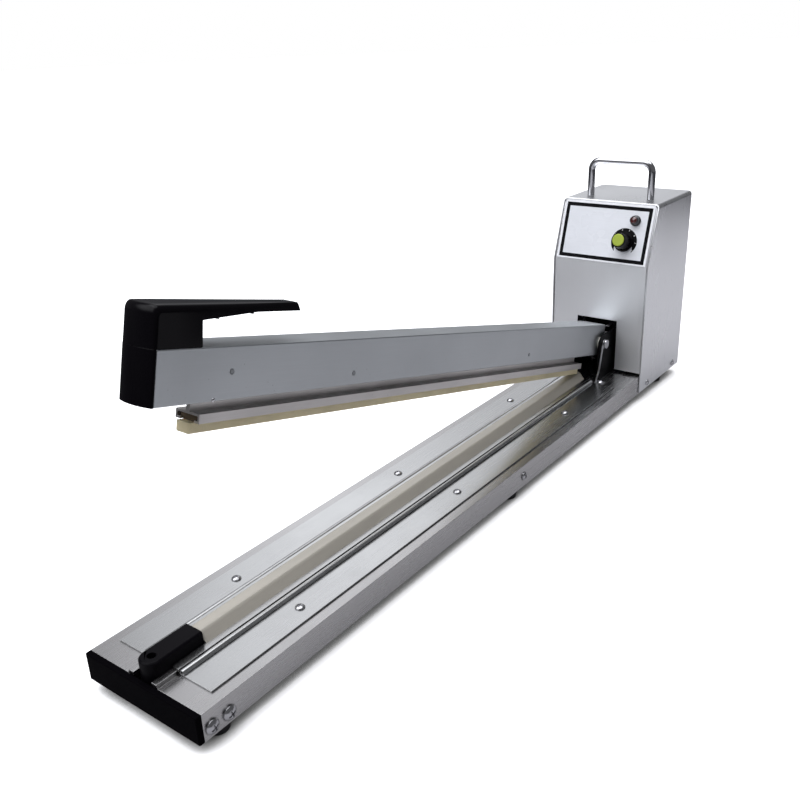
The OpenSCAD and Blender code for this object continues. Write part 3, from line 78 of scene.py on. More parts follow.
# Colours of the metals, plastics and boards that no setting changes
BRASS = (0.62, 0.45, 0.18)
NYLON = (0.62, 0.60, 0.54)
GLASS_TAPE = (0.45, 0.38, 0.24)
LAMINATIONS = (0.08, 0.08, 0.09)
WINDING = (0.35, 0.17, 0.05)
BOARD = (0.03, 0.16, 0.06)

# Angles in degrees: up to the first, faces count as flat; from the others, edges are rounded
FLAT_ANGLE = 0.8
EDGE_ANGLE = 35
PAD_EDGE_ANGLE = 50

# Cloth: height of its hems over the base, bend at the foot of its slopes, points in a slope
# and unevenness of its height
CLOTH_LIFT = 0.3*MM
CLOTH_CREASE = (0.9*MM, 0.05*MM)
CLOTH_SLOPE = 9
CLOTH_SAG = 0.02*MM

# Crown of the cloth over the bed bar: distance from the middle and drop from its top
CLOTH_CROWN = ((4.25*MM, 0.35*MM), (3.9*MM, 0.08*MM), (3.3*MM, 0.0), (1.7*MM, 0.0))
CLOTH_THICK = 0.25*MM
CLOTH_ROWS = 256
STRIP_ROWS = 200

# Set-in of the silicone strip's ends: place along it and share of its width there
STRIP_ENDS = {0.0: 0.93, 0.0004: 0.975, 0.0012: 1.0, 0.9988: 1.0, 0.9996: 0.975, 1.0: 0.93}

# Nose of the grip's tail: distance back from its tip and drop from its top
GRIP_NOSE = ((2.6*MM, 0.0), (1.5*MM, 0.2*MM), (0.8*MM, 1.2*MM))

# Solid length at the grip's tip, and share of the underside's rise that lies before its bend
GRIP_RIM = 5*MM
GRIP_BEND_SHARE = 0.89

# Height over the tip's underside up to which the nose keeps its edge
GRIP_NOSE_LOW = 2*MM

# Ribs in the tail: distance behind the block, thickness, drop from the grip's top, reach into
# its walls, and slope and drop of their feet from the finger gap
GRIP_RIBS = (13.5*MM, 41.2*MM)
RIB_THICK = 2*MM
RIB_TOP = 3*MM
RIB_SINK = 0.2*MM
RIB_SLOPE = 0.0943
RIB_FOOT = 1.2*MM

# Planes that cut the grip along and up, so that it can bend
GRIP_CUTS = 15
GRIP_LAYERS = 4

# Bright pins: distance from the hinge and height above it, depth in the arm, rise of the head
# as a share of its radius
PIN_SPOT = (524.0*MM, -11.6*MM)
PIN_SINK = 0.1*MM
PIN_CROWN = 0.55
PIN_SIDES = 24

# Print on the plate: height of its underside, angle of the left tip of the dial's crescent and
# how fast it thickens from there
PRINT_FOOT = 0.005*MM
DIAL_TIP = math.radians(228)
DIAL_SWELL = 7.0
DIAL_STEPS = 72

# Numbers of the dial: radius, angle of the first and their sweep in degrees, size and thickness
NUMBER_RADIUS = 11.9*MM
NUMBER_START = 218
NUMBER_SWEEP = 256
NUMBER_SIZE = 2.5*MM
NUMBER_RISE = 0.02*MM

# Floor of the studio: its radius, and the distances over which it turns dark in the metal, in
# a plan that is shortened along the sealer and shifted to its right
FLOOR_RADIUS = 14.0
FLOOR_STEPS = 96
FLOOR_DARK = (0.52, 0.74)
FLOOR_STRETCH = (1.0, 0.5, 1.0)
FLOOR_SHIFT = (-0.25, 0, 0)

# Width of the film that the camera's focal length refers to, in millimetres
FILM_WIDTH = 36.0


# Matrices

def arm_matrix():
    """Arm frame: -Y runs forward along the arm and +Z up from it, from the hinge pin."""
    return Matrix.Translation(HINGE) @ Matrix.Rotation(-OPEN_ANGLE, 4, "X")


def panel_matrix():
    """Panel frame: +X to the right, +Y up the slope and +Z out of it, from the knob's centre."""
    right = Vector((1, 0, 0))
    up = PANEL_NORMAL.cross(right)
    turn = Matrix((right, up, PANEL_NORMAL)).transposed().to_4x4()
    return Matrix.Translation(KNOB_CENTRE) @ turn


# Settings

def tint(name, description, default):
    return FloatVectorProperty(name=name, description=description, default=default,
                               subtype="COLOR", size=3, min=0.0, max=1.0)


def length(name, description, default):
    return FloatProperty(name=name, description=description, default=default,
                         unit="LENGTH", subtype="DISTANCE", min=0.0, precision=5)


def share(name, description, default):
    return FloatProperty(name=name, description=description, default=default,
                         subtype="FACTOR", min=0.0, max=1.0)


def strength(name, description, default):
    return FloatProperty(name=name, description=description, default=default, min=0.0)


class SealerFinishes(bpy.types.PropertyGroup):
    base_metal: tint("Base", "Anodised aluminium of the base", (0.45, 0.445, 0.445))
    strip_metal: tint("Strips", "Anodised aluminium of the clamp strips", (0.50, 0.505, 0.505))
    arm_metal: tint("Arm", "Anodised aluminium of the arm", (0.45, 0.47, 0.485))
    sheet_metal: tint("Housing", "Satin sheet of the housing", (0.80, 0.81, 0.825))
    holder_metal: tint("Press bar", "Dull aluminium of the press bar", (0.58, 0.56, 0.545))
    chrome: tint("Chrome", "Plated rod and screws", (0.56, 0.56, 0.58))
    zinc: tint("Zinc", "Zinc plated steel", (0.55, 0.55, 0.57))
    black: tint("Black moulding", "Black moulded plastic", (0.0022, 0.0018, 0.0028))
    rubber: tint("Rubber", "Rubber of the feet", (0.008, 0.008, 0.009))
    bracket: tint("Bracket", "Black paint of the hinge bracket", (0.0025, 0.0025, 0.0030))
    cloth: tint("Cloth", "Coated glass cloth", (0.40, 0.375, 0.325))
    silicone: tint("Silicone", "Cream silicone strip", (0.78, 0.69, 0.44))
    # Head inside the holder: dark brown that paints the shade of the holder's channel over the
    # cream silicone.
    silicone_painted_shade: tint("Strip head", "Silicone of the head inside the holder",
                         (0.09, 0.06, 0.03))
    plate: tint("Plate", "Printed field of the label plate", (0.75, 0.77, 0.81))
    border: tint("Border", "White border of the label plate", (0.86, 0.87, 0.90))
    print_black: tint("Print", "Black print on the label plate", (0.004, 0.004, 0.005))
    print_white: tint("Numbers", "White numbers of the dial", (0.80, 0.80, 0.80))
    cap: tint("Knob cap", "Yellow green cap of the knob", (0.36, 0.45, 0.05))
    lens: tint("Lens", "Dark red lamp lens", (0.07, 0.006, 0.006))


class SealerSizes(bpy.types.PropertyGroup):
    cloth_flat: length("Cloth hem", "Half width of the cloth under the lips", 11.6*MM)
    cloth_foot: length("Cloth foot", "Half width at which the cloth starts to rise", 10.4*MM)
    cloth_ridge: length("Cloth ridge", "Half width of the cloth on top of the bar", 4.2*MM)
    cloth_wave: length("Cloth waves", "Height of the waves in the slopes of the cloth", 0.10*MM)
    head_out: length("Strip head", "Length that the strip's head gains at the front", 8*MM)
    grip_block: length("Grip block", "Length of the block under the front of the grip",
                       35.4*MM)
    grip_rise: length("Grip rise", "Rise of the top of the grip from its front to its tip",
                      1.55*MM)
    grip_roll: length("Grip roll", "Depth of the roll at the top of the grip's front", 3.5*MM)
    grip_roll_down: length("Grip roll height", "Height of that roll", 5.0*MM)
    grip_shoulder: length("Grip shoulder", "Radius along the top edges at the grip's front",
                          4.5*MM)
    grip_edge: length("Grip front edges", "Radius of the upright edges of the grip", 1.8*MM)
    grip_bow: length("Grip bow", "Radius of the bow across the front of the grip", 32*MM)
    grip_wall: length("Grip wall", "Wall of the hollow tail", 2.6*MM)
    grip_gap: length("Grip gap", "Height of the finger gap at the grip's block", 14.8*MM)
    grip_bend: length("Grip bend", "Distance from the block to the bend under the tail", 43.5*MM)
    grip_tip: length("Grip tip", "Thickness of the grip at its tip", 5.5*MM)
    grip_reach: length("Grip reach", "Length that the tail of the grip gains", 6.5*MM)
    grip_fall: length("Grip fall", "Drop of the top of the grip towards its tip", 1.45*MM)
    grip_taper: share("Grip taper", "Share of its width that the grip loses at its tip", 0.57)
    pin_radius: length("Arm pins", "Radius of the bright pins low in the arm's sides", 1.3*MM)
    pad_corner: length("Strip corner", "Radius along the lower edges of the strip", 1.0*MM)
    pad_wave: length("Strip waves", "Unevenness of the silicone strip", 0.06*MM)
    line_side: length("Line at the sides", "Distance of the black line from the plate's sides",
                      2.3*MM)
    line_top: length("Line at the top", "Distance of the black line from the plate's top",
                     1.7*MM)
    line_width: length("Line width", "Width of the black line", 3.6*MM)
    print_rise: length("Print height", "Height of the print above the plate", 0.06*MM)
    dial_radius: length("Dial", "Outer radius of the dial's crescent", 13.5*MM)
    dial_inner: length("Dial inside", "Inner radius of the dial's crescent", 8.4*MM)
    dial_numbers: IntProperty(name="Numbers", description="Count of numbers on the dial",
                              default=8, min=2, max=12)


class SealerStudio(bpy.types.PropertyGroup):
    camera_spot: FloatVectorProperty(
        name="Camera", description="Place of the camera", size=3, subtype="TRANSLATION",
        unit="LENGTH", default=(0.37906, -0.59015, 0.37161))
    azimuth: FloatProperty(name="Azimuth", description="Camera azimuth", unit="ROTATION",
                           default=math.radians(37.656))
    elevation: FloatProperty(name="Elevation", description="Camera elevation",
                             unit="ROTATION", default=math.radians(22.649))
    roll: FloatProperty(name="Roll", description="Camera roll", unit="ROTATION",
                        default=math.radians(-2.389))
    lens: FloatProperty(name="Lens", description="Focal length in millimetres on a 36 mm film",
                        default=40.24, min=10.0)
    floor: tint("Floor", "Pale floor", (0.90, 0.90, 0.90))
    floor_bounce: tint("Floor bounce", "Floor as the metal mirrors it", (0.42, 0.415, 0.425))
    floor_far: tint("Far floor", "Floor far away as the metal mirrors it", (0.04, 0.04, 0.043))
    floor_glow: strength("Floor glow", "Light that the seen floor gives where nothing is near it",
                         0.45)
    # Reach of the painted contact shadow on the floor.
    painted_contact_shadow: length("Contact shadow", "Reach of the soft shadow where pieces meet the floor",
                    20*MM)
    air: tint("Surroundings", "Colour of the surroundings", (0.95, 0.96, 1.0))
    room: strength("Room", "Light of the room away from the lamps", 0.15)
    overhead: strength("Overhead", "Light of the broad overhead lamp", 3.3)
    key: strength("Key", "Light of the key lamp, high at the rear left", 0.40)
    fill: strength("Fill", "Light of the fill lamp, high at the front left", 3.0)
    glint: strength("Glint", "Light of the small lamp that the front of the base mirrors", 0.8)
    backdrop: strength("Backdrop", "Light of the low pale backdrop at the rear", 0.42)


def finishes():
    return bpy.context.scene.sealer_finishes


def sizes():
    return bpy.context.scene.sealer_sizes


def studio():
    return bpy.context.scene.sealer_studio


# Finishes

class NodeWork:
    """Short calls that add and join the nodes of one tree."""

    def __init__(self, tree):
        self.tree = tree

    def node(self, kind, **values):
        made = self.tree.nodes.new(kind)
        for key, value in values.items():
            setattr(made, key, value)
        return made

    def join(self, source, target):
        self.tree.links.new(source, target)

    def place(self, scale=(1, 1, 1), turn=0.0, shift=(0, 0, 0)):
        """Object coordinates, turned about X, then stretched and shifted."""
        coords = self.node("ShaderNodeTexCoord").outputs["Object"]
        if turn:
            turned = self.node("ShaderNodeMapping")
            turned.inputs["Rotation"].default_value = (turn, 0, 0)
            self.join(coords, turned.inputs["Vector"])
            coords = turned.outputs["Vector"]
        stretched = self.node("ShaderNodeMapping")
        stretched.inputs["Scale"].default_value = scale
        stretched.inputs["Location"].default_value = shift
        self.join(coords, stretched.inputs["Vector"])
        return stretched.outputs["Vector"]

    def noise(self, vector, scale, detail=3.0, rough=0.5, twist=0.0):
        made = self.node("ShaderNodeTexNoise")
        made.inputs["Scale"].default_value = scale
        made.inputs["Detail"].default_value = detail
        made.inputs["Roughness"].default_value = rough
        made.inputs["Distortion"].default_value = twist
        self.join(vector, made.inputs["Vector"])
        return made.outputs["Fac"]

    def cells(self, vector, scale):
        made = self.node("ShaderNodeTexVoronoi")
        made.inputs["Scale"].default_value = scale
        self.join(vector, made.inputs["Vector"])
        return made.outputs["Distance"]

    def spread(self, value, low, high, to_low=0.0, to_high=1.0, kind="LINEAR"):
        made = self.node("ShaderNodeMapRange", interpolation_type=kind)
        for key, number in zip(("From Min", "From Max", "To Min", "To Max"),
                               (low, high, to_low, to_high)):
            made.inputs[key].default_value = number
        self.join(value, made.inputs["Value"])
        return made.outputs["Result"]

    def math(self, operation, first, second):
        made = self.node("ShaderNodeMath", operation=operation)
        for index, value in enumerate((first, second)):
            if isinstance(value, (int, float)):
                made.inputs[index].default_value = value
            else:
                self.join(value, made.inputs[index])
        return made.outputs[0]

    def blend(self, amount, first, second):
        made = self.node("ShaderNodeMix", data_type="RGBA")
        for socket, value in zip((made.inputs[0], made.inputs[6], made.inputs[7]),
                                 (amount, first, second)):
            if isinstance(value, (int, float)):
                socket.default_value = value
            elif hasattr(value, "is_output"):
                self.join(value, socket)
            else:
                socket.default_value = (*value, 1.0)
        return made.outputs[2]

    def tone(self, source, low, high, first, second, most=1.0):
        """Colour that goes from first towards second as source rises from low to high."""
        return self.blend(self.spread(source, low, high, 0.0, most), first, second)

    def crevices(self, reach, samples, low, high, kind="LINEAR"):
        """Mask for painted shade and shadow: 1 in the open, falling to 0 where other surfaces
        come close.
        """
        near = self.node("ShaderNodeAmbientOcclusion", samples=samples)
        near.inputs["Distance"].default_value = reach
        return self.spread(near.outputs["AO"], low, high, 0.0, 1.0, kind)


class Finish(NodeWork):
    """Node tree of one procedural finish, built around one shader."""

    def __init__(self, name):
        self.material = bpy.data.materials.new(name)
        self.material.use_nodes = True
        super().__init__(self.material.node_tree)
        self.tree.nodes.clear()
        output = self.node("ShaderNodeOutputMaterial")
        self.shader = self.node("ShaderNodeBsdfPrincipled")
        self.join(self.shader.outputs["BSDF"], output.inputs["Surface"])

    def set(self, socket, value):
        self.shader.inputs[socket].default_value = value

    def colour(self, source):
        self.join(source, self.shader.inputs["Base Color"])

    def rough(self, source):
        self.join(source, self.shader.inputs["Roughness"])

    def patchy(self, source, smooth, dull, high=0.7):
        """Roughness that goes from smooth to dull with source."""
        self.rough(self.spread(source, 0.3, high, smooth, dull))

    def relief(self, height, strength, distance):
        """Fine bumps, up to distance metres deep."""
        made = self.node("ShaderNodeBump")
        made.inputs["Strength"].default_value = strength
        made.inputs["Distance"].default_value = distance
        self.join(height, made.inputs["Height"])
        self.join(made.outputs["Normal"], self.shader.inputs["Normal"])


def shade(colour, factor, lift=0.0):
    return tuple(min(1.0, channel*factor + lift) for channel in colour)


def brushed_finish(name, colour, along="Y", roughness=0.36, turn=0.0, streaks=0.035,
                   specks=0.0, smears=0.08, relief=0.08, painted_seam_shade=0.0):
    """Metal with a fine grain along one axis, faint smears, small specks and painted shade where
    other surfaces come close.
    """
    made = Finish(name)
    made.set("Metallic", 1.0)
    stretch = tuple(0.03 if axis == along else 1.0 for axis in "XYZ")
    grain = made.noise(made.place(stretch, turn), 900, 5.0, 0.65)
    plain = made.place(turn=turn)
    smear = made.noise(plain, 14, 4.0, 0.55, 0.4)
    tone = made.tone(grain, 0.32, 0.68, shade(colour, 1 - streaks),
                     shade(colour, 1 + streaks*0.7))
    tone = made.tone(smear, 0.35, 0.75, tone, shade(colour, 0.86), smears*2)
    if specks:
        spots = made.cells(plain, 230)
        chosen = made.math("MULTIPLY", made.spread(spots, 0.10, 0.04),
                           made.spread(made.noise(plain, 60, 2.0), 0.5, 0.62))
        tone = made.blend(made.math("MULTIPLY", chosen, specks), tone, shade(colour, 0.35))
    # Painted shade: the colour turns nearly black where other surfaces come close, in joints and
    # corners.
    if painted_seam_shade:
        tone = made.blend(made.crevices(painted_seam_shade, 4, 0.35, 0.9), shade(colour, 0.12), tone)
    made.colour(tone)
    wear = made.math("ADD", made.spread(smear, 0.3, 0.7, -smears*0.5, smears*0.5),
                     made.spread(grain, 0.3, 0.7, roughness - 0.04, roughness + 0.04))
    made.rough(wear)
    made.relief(grain, relief, 0.05*MM)
    return made.material


def moulded_finish(name, colour, roughness, grain=0.12, dust=0.06, shine=0.3):
    """Moulded plastic with a fine skin, faint dust and slow changes in gloss."""
    made = Finish(name)
    plain = made.place()
    skin = made.noise(plain, 2600, 2.0, 0.5)
    cloud = made.noise(plain, 26, 4.0, 0.6)
    made.colour(made.tone(cloud, 0.4, 0.8, colour, shade(colour, 1.0, 0.02), dust))
    made.set("Specular IOR Level", shine)
    made.patchy(cloud, roughness - 0.05, roughness + 0.06)
    made.relief(skin, grain, 0.04*MM)
    return made.material


def plated_finish(name, colour, roughness=0.09):
    """Bright plating with faint waves and a little tarnish."""
    made = Finish(name)
    made.set("Metallic", 1.0)
    plain = made.place()
    wave = made.noise(plain, 160, 3.0, 0.5)
    stain = made.noise(plain, 45, 4.0, 0.6, 0.3)
    made.colour(made.tone(stain, 0.45, 0.8, colour, shade(colour, 0.62), 0.35))
    made.patchy(stain, roughness, roughness + 0.10, 0.8)
    made.relief(wave, 0.10, 0.05*MM)
    return made.material


def painted_finish(name, colour):
    """Sprayed paint with a slight orange peel."""
    made = Finish(name)
    plain = made.place()
    peel = made.noise(plain, 900, 2.0, 0.4)
    dirt = made.noise(plain, 40, 5.0, 0.65)
    made.colour(made.tone(dirt, 0.5, 0.8, colour, shade(colour, 1.0, 0.03), 0.35))
    made.patchy(dirt, 0.32, 0.46)
    made.set("Specular IOR Level", 0.06)
    made.relief(peel, 0.18, 0.05*MM)
    return made.material


def rubber_finish(name, colour):
    """Moulded rubber, dull and slightly dusty."""
    made = Finish(name)
    plain = made.place()
    skin = made.noise(plain, 1500, 3.0, 0.6)
    dust = made.noise(plain, 90, 4.0, 0.6)
    made.colour(made.tone(dust, 0.45, 0.8, colour, shade(colour, 1.0, 0.03), 0.5))
    made.patchy(dust, 0.64, 0.78)
    made.relief(skin, 0.3, 0.08*MM)
    return made.material


def cloth_finish(name, colour):
    """Coated glass cloth: a fine plain weave under a smooth brown coat."""
    made = Finish(name)
    warp = made.node("ShaderNodeTexWave", bands_direction="X")
    weft = made.node("ShaderNodeTexWave", bands_direction="Y")
    plain = made.place()
    for thread in (warp, weft):
        thread.inputs["Scale"].default_value = 330
        thread.inputs["Distortion"].default_value = 0.6
        thread.inputs["Detail"].default_value = 1.0
        made.join(plain, thread.inputs["Vector"])
    weave = made.math("MAXIMUM", warp.outputs["Fac"], weft.outputs["Fac"])
    stain = made.noise(made.place((1, 0.12, 1)), 60, 5.0, 0.6)
    coat = made.tone(stain, 0.35, 0.75, shade(colour, 1.10), shade(colour, 0.80))
    thread_tone = made.tone(stain, 0.35, 0.75, shade(colour, 1.10), shade(colour, 0.78))
    thread_tone = made.tone(weave, 0.5, 1.0, shade(colour, 0.7), thread_tone, 0.22)
    made.colour(made.blend(0.55, thread_tone, coat))
    made.patchy(stain, 0.34, 0.46)
    made.relief(weave, 0.22, 0.05*MM)
    made.set("Coat Weight", 0.25)
    made.set("Coat Roughness", 0.30)
    return made.material


def silicone_finish(name, colour):
    """Cream silicone: soft, slightly translucent and a little dirty."""
    made = Finish(name)
    plain = made.place()
    cloud = made.noise(plain, 35, 4.0, 0.6)
    skin = made.noise(plain, 1200, 3.0, 0.6)
    made.colour(made.tone(cloud, 0.35, 0.75, shade(colour, 1.05), shade(colour, 0.86)))
    made.patchy(cloud, 0.46, 0.58)
    made.relief(skin, 0.2, 0.06*MM)
    made.set("Subsurface Weight", 0.12)
    made.set("Subsurface Radius", (0.004, 0.003, 0.0015))
    made.set("Subsurface Scale", 1.0)
    return made.material


def lens_finish(name, colour):
    """Dark red lamp lens, deep and glossy."""
    made = Finish(name)
    depth = made.noise(made.place(), 500, 2.0, 0.5)
    made.colour(made.tone(depth, 0.3, 0.7, shade(colour, 0.55), shade(colour, 1.3)))
    made.patchy(depth, 0.06, 0.12)
    made.set("Coat Weight", 1.0)
    made.set("Coat Roughness", 0.03)
    return made.material


def plate_finish(name, field, border, half_width, half_height):
    """Label plate: a pale satin field inside a white border."""
    made = Finish(name)
    shifted = made.node("ShaderNodeMapping", vector_type="TEXTURE")
    matrix = panel_matrix()
    shifted.inputs["Location"].default_value = matrix.translation
    shifted.inputs["Rotation"].default_value = matrix.to_euler()
    made.join(made.node("ShaderNodeTexCoord").outputs["Object"], shifted.inputs["Vector"])
    split = made.node("ShaderNodeSeparateXYZ")
    made.join(shifted.outputs["Vector"], split.inputs["Vector"])
    low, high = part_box("label_plate")
    centre = matrix.inverted() @ ((low + high)/2)
    across = made.math("ABSOLUTE", made.math("SUBTRACT", split.outputs["X"], centre.x), 0.0)
    upward = made.math("ABSOLUTE", made.math("SUBTRACT", split.outputs["Y"], centre.y), 0.0)
    inside = made.math("MULTIPLY", made.math("LESS_THAN", across, half_width),
                       made.math("LESS_THAN", upward, half_height))
    cloud = made.noise(made.place(), 22, 3.0, 0.5)
    fine = made.noise(made.place((0.05, 1, 1)), 1500, 3.0, 0.6)
    pale = made.tone(cloud, 0.3, 0.75, shade(field, 1.06), shade(field, 0.90))
    pale = made.tone(fine, 0.3, 0.7, pale, shade(field, 0.7), 0.10)
    made.colour(made.blend(inside, border, pale))
    made.patchy(cloud, 0.24, 0.34)
    made.relief(fine, 0.05, 0.03*MM)
    made.set("Coat Weight", 0.35)
    made.set("Coat Roughness", 0.12)
    return made.material


def print_finish(name, colour, roughness=0.35):
    """Screen printed ink with slightly uneven cover."""
    made = Finish(name)
    cover = made.noise(made.place(), 700, 3.0, 0.6)
    made.colour(made.tone(cover, 0.4, 0.8, colour, shade(colour, 0.8, 0.004), 0.4))
    made.patchy(cover, roughness - 0.05, roughness + 0.08)
    made.set("Specular IOR Level", 0.06)
    return made.material


def layered_finish(name, colour, pitch, metallic=0.0):
    """Laminations, turns of wire or a board: fine lines over a mottled ground."""
    made = Finish(name)
    made.set("Metallic", metallic)
    lines = made.node("ShaderNodeTexWave", bands_direction="DIAGONAL")
    lines.inputs["Scale"].default_value = pitch
    lines.inputs["Distortion"].default_value = 0.4
    plain = made.place()
    made.join(plain, lines.inputs["Vector"])
    ground = made.noise(plain, 120, 4.0, 0.6)
    tone = made.tone(ground, 0.35, 0.7, shade(colour, 1.15), shade(colour, 0.75))
    made.colour(made.tone(lines.outputs["Fac"], 0.2, 0.8, tone, shade(colour, 0.5), 0.5))
    made.patchy(ground, 0.42, 0.58)
    made.relief(lines.outputs["Fac"], 0.3, 0.1*MM)
    return made.material


# Pieces

def dress(node, material, edge=0.0, segments=2):
    """Gives a node of the frame its finish and softens its edges by edge metres."""
    piece = NODES[node]
    piece.data.materials.clear()
    piece.data.materials.append(material)
    for face in piece.data.polygons:
        face.use_smooth = True
    weld = piece.modifiers.new("Weld", "WELD")
    weld.merge_threshold = WELD
    if edge:
        flat = piece.modifiers.new("Flat faces", "DECIMATE")
        flat.decimate_type = "DISSOLVE"
        flat.angle_limit = math.radians(FLAT_ANGLE)
        round_edges(piece, edge, segments)
    else:
        even_normals(piece)


def dress_all(nodes, material, edge=0.0):
    for node in nodes:
        dress(node, material, edge)


def soften(piece, edge, segments, angle):
    """Rounds the edges of a piece that are sharper than angle degrees."""
    bevel = piece.modifiers.new("Edges", "BEVEL")
    bevel.limit_method = "ANGLE"
    bevel.angle_limit = math.radians(angle)
    bevel.width = edge
    bevel.segments = segments
    return bevel


def round_edges(piece, edge, segments=2):
    """Softens the edges of a piece by edge metres and evens its normals."""
    soften(piece, edge, segments, EDGE_ANGLE).use_clamp_overlap = False
    even_normals(piece)


def even_normals(piece):
    even = piece.modifiers.new("Normals", "WEIGHTED_NORMAL")
    even.keep_sharp = False
    even.weight = 60


def add_piece(name, mesh, material, body, smooth=True):
    piece = bpy.data.objects.new(name, mesh)
    bpy.context.scene.collection.objects.link(piece)
    mesh.materials.append(material)
    for face in mesh.polygons:
        face.use_smooth = smooth
    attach(piece, body)
    return piece


def mesh_from(name, points, faces, matrix=None):
    mesh = bpy.data.meshes.new(name)
    mesh.from_pydata([tuple(point) for point in points], [], faces)
    if matrix is not None:
        mesh.transform(matrix)
    work = bmesh.new()
    work.from_mesh(mesh)
    bmesh.ops.recalc_face_normals(work, faces=work.faces)
    work.to_mesh(mesh)
    work.free()
    mesh.update()
    return mesh


def span(points):
    """Lowest and highest corners of some points."""
    return [Vector([pick(values) for values in zip(*points)]) for pick in (min, max)]


def corners_in(node, matrix):
    """A node's points in the frame that matrix stands for."""
    inverse = matrix.inverted()
    return [inverse @ vertex.co for vertex in NODES[node].data.vertices]


def circle_point(centre, radius, angle):
    return centre[0] + radius*math.cos(angle), centre[1] + radius*math.sin(angle)


def skin_rings(rings):
    """Points and faces of a closed tube through rings of the same count."""
    count = len(rings[0])
    points = [point for ring in rings for point in ring]
    faces = []
    for row in range(len(rings) - 1):
        for i in range(count):
            k = (i + 1) % count
            faces.append((row*count + i, row*count + k, (row + 1)*count + k,
                          (row + 1)*count + i))
    faces.append(tuple(range(count - 1, -1, -1)))
    faces.append(tuple(range(len(points) - count, len(points))))
    return points, faces


def ribbon_slab(name, inner, outer, levels, matrix, closed):
    """Thin slab between two lines of points, such as a frame or a crescent."""
    count = len(inner)
    points = [(x, y, z) for z in levels for x, y in (*inner, *outer)]
    faces = []
    top = 2*count
    for i in range(count if closed else count - 1):
        k = (i + 1) % count
        a, b, c, d = i, k, count + k, count + i
        faces += [(a, d, c, b), (top + a, top + b, top + c, top + d),
                  (a, b, top + b, top + a), (c, d, top + d, top + c)]
    if not closed:
        faces += [(0, top, top + count, count),
                  (count - 1, 2*count - 1, top + 2*count - 1, top + count - 1)]
    return mesh_from(name, points, faces, matrix)


def rugged(point, scale, seed=0.0):
    return noise.noise(Vector(point)*scale + Vector((seed, seed*0.7, seed*1.3)))


def build_metalwork():
    tones = finishes()
    # Base and strips get painted shade in their joints and corners.
    base = brushed_finish("base aluminium", tones.base_metal, "Y", 0.27, specks=0.5,
                          painted_seam_shade=1.2*MM)
    strip = brushed_finish("strip aluminium", tones.strip_metal, "Y", 0.25, specks=0.3,
                           painted_seam_shade=0.9*MM)
    arm = brushed_finish("arm aluminium", tones.arm_metal, "Y", 0.40, turn=OPEN_ANGLE,
                         specks=0.6)
    shaded_arm = brushed_finish("rivet aluminium", shade(tones.arm_metal, 0.6), "Y", 0.45)
    holder = brushed_finish("press bar aluminium", tones.holder_metal, "Y", 0.42,
                            turn=OPEN_ANGLE, specks=0.9, streaks=0.08, smears=0.2)
    sheet = brushed_finish("housing sheet", tones.sheet_metal, "Z", 0.30, specks=0.25,
                           streaks=0.015, relief=0.02)
    face = brushed_finish("front sheet", tones.sheet_metal, "Z", 0.48, specks=0.15,
                          streaks=0.015, relief=0.02)
    bar = brushed_finish("bed bar aluminium", shade(tones.holder_metal, 0.5), "Y", 0.45)
    dress("base_extrusion", base, 0.25*MM)
    dress_all(("clamp_strip_left", "clamp_strip_right"), strip, 0.12*MM)
    dress("arm_tube", arm, 0.5*MM, 3)
    dress("arm_rivets", shaded_arm, 0.12*MM)
    dress("press_bar_holder", holder, 0.12*MM)
    dress("bed_bar", bar, 0.2*MM)
    dress("housing_cover", sheet, 0.2*MM)
    dress("housing_front", face, 0.25*MM)
    dress("housing_rear", face, 0.2*MM)


def build_fasteners():
    tones = finishes()
    bright = plated_finish("bright plating", tones.chrome)
    rod = plated_finish("chrome rod", tones.chrome, 0.06)
    zinc = plated_finish("zinc plating", tones.zinc, 0.28)
    spring = plated_finish("spring steel", shade(tones.zinc, 0.7), 0.25)
    ribbon = brushed_finish("resistance ribbon", shade(tones.zinc, 0.8), "Y", 0.3)
    brass = plated_finish("brass", BRASS, 0.22)
    dark = plated_finish("dull plating", shade(tones.chrome, 0.8), 0.16)
    bezel = plated_finish("bezel plating", shade(tones.chrome, 0.12), 0.10)
    dress_all(("base_side_screws", "clamp_screws"), dark, 0.10*MM)
    dress_all(("foot_screws", "cover_screw", "bracket_screws", "hinge_pin", "grip_screws",
               "housing_screws", "handle_nuts"), bright, 0.10*MM)
    dress("carry_handle", rod)
    dress("lamp_bezel", bezel, 0.10*MM)
    dress_all(("arm_tail", "switch_lever", "transformer_strap", "timer_pot", "earth_strap"),
              zinc, 0.12*MM)
    dress_all(("pin_clip", "return_springs", "terminal_spring", "guide_posts"), spring)
    dress("heating_ribbon", ribbon)
    dress_all(("front_terminal", "rear_terminal", "knob_shaft"), brass, 0.15*MM)


def build_mouldings():
    tones = finishes()
    satin = moulded_finish("black moulding", tones.black, 0.34, dust=0.03, shine=0.05)
    gloss = moulded_finish("glossy black moulding", tones.black, 0.17, 0.05, dust=0.03,
                           shine=0.08)
    knob = moulded_finish("knob moulding", tones.black, 0.24, 0.08, dust=0.03, shine=0.10)
    nylon = moulded_finish("nylon", NYLON, 0.45)
    cap = moulded_finish("knob cap moulding", tones.cap, 0.38, 0.05, dust=0.02)
    paint = painted_finish("bracket paint", tones.bracket)
    rubber = rubber_finish("foot rubber", tones.rubber)
    dull = moulded_finish("end cap", shade(tones.black, 0.6), 0.6, 0.1, dust=0.01, shine=0.01)
    dress("base_end_cap", dull, 0.35*MM)
    dress_all(("front_terminal_cover", "rear_terminal_cover"), satin, 0.3*MM)
    dress("arm_end_cap", gloss, 0.25*MM)
    dress_all(("fuse_holder", "fuse_cap", "cable_gland", "microswitch", "lamp_body"), satin,
              0.2*MM)
    dress("timer_knob", knob, 0.15*MM)
    dress("knob_cap", cap, 0.2*MM)
    dress("arm_bushes", nylon, 0.15*MM)
    dress("hinge_bracket", paint, 0.25*MM)
    dress("rubber_feet", rubber, 0.4*MM)
    dress("lamp_lens", lens_finish("lamp lens", tones.lens))


